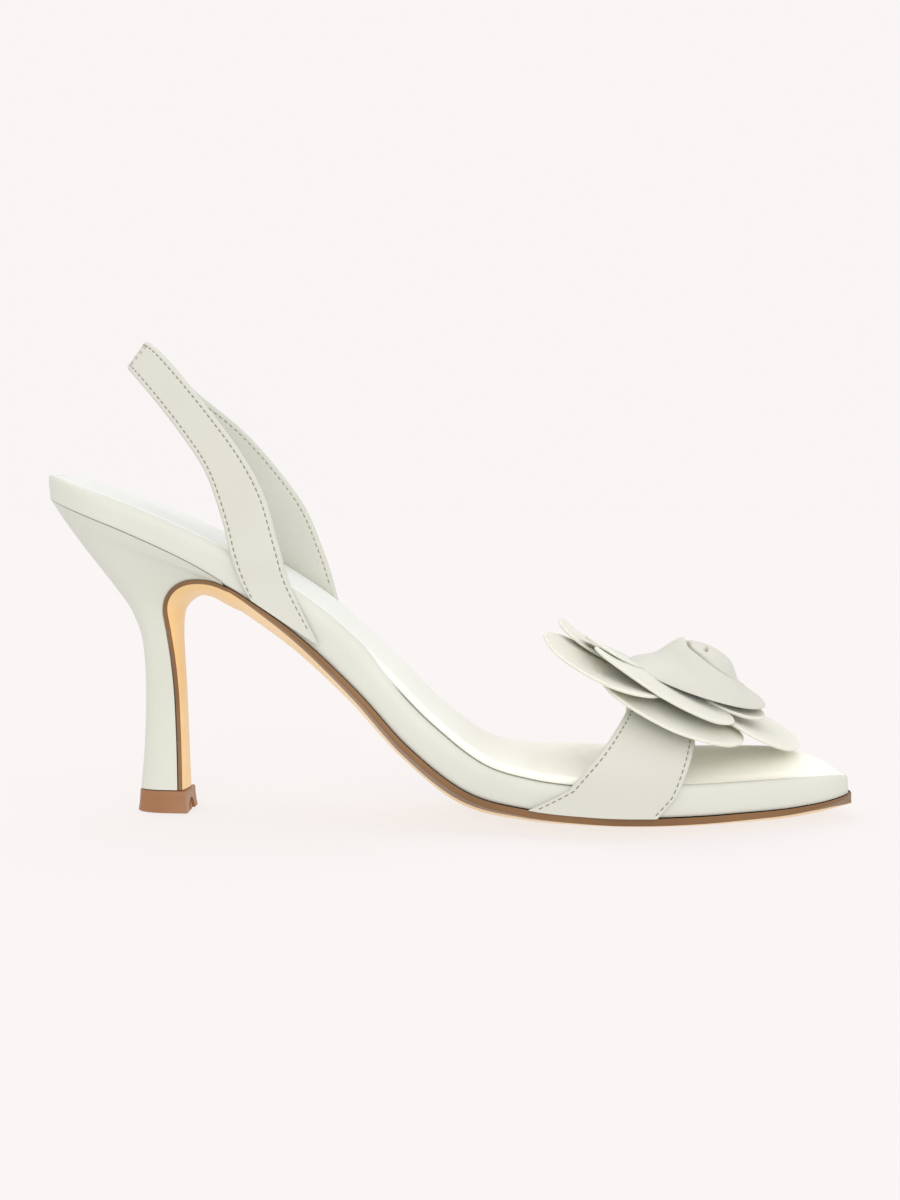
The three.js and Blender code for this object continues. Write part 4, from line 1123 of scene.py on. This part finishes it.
def turned(points, degrees):
    """Turned about the flower's axis, from the toe towards the outer side."""
    a = -math.radians(degrees)
    x, y, z = points[..., 0], points[..., 1], points[..., 2]
    return np.stack([x * math.cos(a) - y * math.sin(a), x * math.sin(a) + y * math.cos(a), z], -1)


def petal_outline(u):
    rounded = np.sqrt(np.maximum(0, 1 - ((u - WIDEST) / (1 - WIDEST)) ** 2))
    return np.where(u < WIDEST, mix(0.3, 1, ease(u, 0, WIDEST)), rounded)


def petal_sheet(p, i, steps=26):
    """One petal's middle surface, as a square grid of points."""
    a, b = np.meshgrid(np.linspace(-1, 1, steps), np.linspace(-1, 1, steps), indexing="ij")
    dx = a * np.sqrt(1 - b * b / 2)
    dy = b * np.sqrt(1 - a * a / 2)
    u = (dx + 1) / 2
    rim = np.sqrt(np.maximum(1e-6, 1 - dx * dx))
    v = np.clip(dy / rim, -1, 1)
    root = np.sqrt(np.clip(u / 0.12, 0, 1))
    w = petal_outline(u) * root
    x = PETAL_REACH * p["reach"][i] * u
    y = 0.5 * PETAL_WIDTH * p["width"][i] * w * v
    w = petal_outline(u)
    edge = v * v * w * ease(u, 0.1, 0.6)
    z = (p["lift"][i] + p["climb"][i] * u**1.5 + p["cup"][i] * edge
         + p["curl"][i] * u**5 + p["skew"][i] * v * u * w)
    return turned(np.stack([x, y, z * PETAL_THICKNESS], -1), p["turn"][i])


def petals(name, rows, node):
    """A row of petals as one piece, thickened and softened."""
    points, faces = [], []
    for i in range(len(rows["turn"])):
        sheet = petal_sheet(rows, i)
        high, wide = sheet.shape[:2]
        faces += grid_faces(high, wide, start=i * high * wide)
        points.append(in_flower(sheet).reshape(-1, 3))
    piece = make_piece(name, np.concatenate(points), faces, [petal_leather], node,
                       sharp=180)
    thicken(piece, PETAL_THICKNESS)


petals("outer_petal_row", OUTER_PETALS, "outer_petals")
petals("inner_petal_row", INNER_PETALS, "inner_petals")

# %% [markdown]
# The bud is rolled from one strip. The inside of the roll shows as a small dome with a spiral
# line. The strip's last turn wraps round it, is cut at a slant, and runs down into a wide lip.
# On the outer side the cut stands off the roll, and a furrow in the roll sets the two apart.

# %% Bud
BUD = table("up wide ahead fall", [
    [0.0, 1.5, 0.08, 0.85],
    [0.02, 1.7, 0.1, 0.97],
    [0.07, 1.77, 0.1, 1.0],
    [0.13, 1.72, 0.1, 0.96],
    [0.19, 1.52, 0.08, 0.76],
    [0.28, 1.24, 0.04, 0.46],
    [0.4, 1.04, 0.01, 0.2],
    [0.56, 0.9, 0, 0.05],
    [0.76, 0.74, 0, 0],
    [0.9, 0.52, 0, 0],
    [0.97, 0.3, 0, 0],
    [1.0, 0.1, 0, 0],
])
BUD_ROWS = 11
LIP_TURN = 0.6
WRAP_THICKNESS = 0.7
WRAP_LOW, WRAP_CLOSED, WRAP_OPEN = 0.1, 0.3, -0.6
CORE_INSET = 0.3
OPEN_AT, OPEN_REACH, CLOSED_REACH = -110, 55, 95
FURROW_DEPTH, FURROW_AHEAD, FURROW_WIDTH = 1.5, 0.12, 0.3
SLIT_AT, SLIT_DEPTH, SLIT_WIDTH = -97, 1.6, 5
# Where the outer turn of leather is cut, round the bud: degrees from the toe, row of the table.
CUT = table("at row_cut", [
    [-180, 8.5],
    [-150, 8.3],
    [-128, 7.6],
    [-110, 7.25],
    [-90, 6.8],
    [-70, 6.25],
    [-50, 5.8],
    [-25, 5.4],
    [10, 5.2],
    [60, 5.6],
    [110, 7.0],
    [150, 8.2],
    [180, 8.5],
])


def bud_point(row, angle, inset=0.0):
    """A point on the bud's outside, in the flower's axes, moved inwards by inset."""
    def at(r):
        up, wide, ahead, fall = by_row(BUD, r, "up", "wide", "ahead", "fall")
        drop = LIP_FALL * fall * (1 - np.sin(angle + LIP_TURN)) / 2
        return BUD_RADIUS * wide, BUD_SEAT + BUD_HEIGHT * up - drop, BUD_FORWARD + BUD_RADIUS * ahead
    row = np.asarray(row, float)
    r, z, middle = at(row)
    on_r, on_z = heading(at, row, BUD_ROWS)
    r = np.maximum(r - inset * on_z, 0.02)
    z = z + inset * on_r
    return np.stack([middle + r * np.cos(angle), r * np.sin(angle), z], -1)


angle = np.radians(np.linspace(-180, 180, 144, endpoint=False))
core_rows = np.linspace(4.5, BUD_ROWS, 90)
cut_row = curve(CUT, "row_cut", np.degrees(angle))
from_open = np.abs((np.degrees(angle) - OPEN_AT + 180) % 360 - 180)
opened = 1 - ease(from_open, OPEN_REACH, CLOSED_REACH)
from_slit = np.degrees(angle) - SLIT_AT


def core_inset(row):
    """The roll lies a little inside the wrap, with a furrow along the cut and a slit on top."""
    furrow = FURROW_DEPTH * opened * np.exp(-(((row - cut_row - FURROW_AHEAD) / FURROW_WIDTH) ** 2))
    on_top = ease(row, 8.3, 8.7) * (1 - ease(row, 9.9, 10.2))
    slit = SLIT_DEPTH * np.exp(-((from_slit / SLIT_WIDTH) ** 2)) * on_top
    return CORE_INSET + furrow + slit


core = [bud_point(row, angle, core_inset(row)) for row in core_rows]
core.insert(0, core[0] * [1, 1, 0] + [0, 0, BUD_SEAT - 1.2])
points, faces = lofted(in_flower(np.stack(core)))
make_piece("bud_core", points, faces, [bud_leather], sharp=60)

share = np.linspace(0, 1, 40)[:, None]
rows = mix(2.0, cut_row[None, :], share)
at_cut = mix(WRAP_CLOSED, WRAP_OPEN, opened[None, :])
middle = bud_point(rows, angle[None, :] + 0 * rows, mix(WRAP_LOW, at_cut, share**1.5))
faces = grid_faces(*middle.shape[:2], closed=True)
wrap = make_piece("bud_wrap", in_flower(middle), faces, [bud_leather], "bud", sharp=180)
thicken(wrap, WRAP_THICKNESS)

# %% [markdown]
# A plain pale floor and even studio light, as in a catalogue. The floor glows a little by
# itself, so it meets the backdrop in one tone and the shoe keeps only a faint shadow.

# %% Floor, light and backdrop
BACKDROP = linear(249, 245, 244)
floor_mesh = bpy.data.meshes.new("floor")
reach = 12.0
floor_mesh.from_pydata([(-reach, -reach, 0), (reach, -reach, 0), (reach, reach, 0), (-reach, reach, 0)],
                       [], [(0, 1, 2, 3)])
floor = add_object("floor", floor_mesh)
floor.location.z = -0.0001
floor_paint = bpy.data.materials.new("pale_floor")
floor_paint.use_nodes = True
paint = floor_paint.node_tree.nodes["Principled BSDF"]
FLOOR_SHARE, FLOOR_GLOW = 0.18, 0.79
plain = {"Base Color": tuple(FLOOR_SHARE * c for c in BACKDROP[:3]) + (1.0,), "Roughness": 1.0,
         "Specular IOR Level": 0.0, "Emission Color": BACKDROP, "Emission Strength": FLOOR_GLOW}
for key, value in plain.items():
    paint.inputs[key].default_value = value
floor_mesh.materials.append(floor_paint)

world = bpy.data.worlds.new("studio")
bpy.context.scene.world = world
world.use_nodes = True
sky = world.node_tree.nodes["Background"]
sky.inputs["Color"].default_value = BACKDROP
sky.inputs["Strength"].default_value = 1.0


def lamp(name, azimuth, elevation, strength, spread):
    """A far, soft light. Azimuth 0 shines from the camera's side, 180 from behind the shoe."""
    data = bpy.data.lights.new(name, "SUN")
    data.energy = strength
    data.angle = math.radians(spread)
    a, e = math.radians(azimuth), math.radians(elevation)
    source = Vector((math.sin(a) * math.cos(e), -math.cos(a) * math.cos(e), math.sin(e)))
    add_object(name, data).rotation_euler = source.to_track_quat("Z", "Y").to_euler()


lamp("top", 200, 66, 0.6, 50)
lamp("toe", 60, 32, 0.25, 50)
lamp("front", 4, 16, 0.95, 40)
bpy.context.scene.view_settings.view_transform = "Standard"

# %% [markdown]
# The camera stands where the photographer's stood: at the outer side, a little behind the middle
# of the shoe, just above it and close, so the forefoot is seen more from above than the heel.

# %% Camera
LENS = 46.3
CAMERA_PLACE = np.array([142.56, -448.51, 87.90])
CAMERA_TURN = 3.3
camera_data = bpy.data.cameras.new("camera")
camera_data.lens = LENS
camera_data.sensor_width = 36
camera_data.clip_start = 0.01
camera_data.clip_end = 100
camera = add_object("camera", camera_data)
t = math.radians(CAMERA_TURN)
look = Vector((-math.sin(t) * math.cos(t), math.cos(t) * math.cos(t), -math.sin(t)))
camera.location = Vector((CAMERA_PLACE + SHIFT) * MM)
camera.rotation_euler = look.to_track_quat("-Z", "Y").to_euler()
bpy.context.scene.camera = camera
print("camera at", tuple(round(v, 4) for v in camera.location))
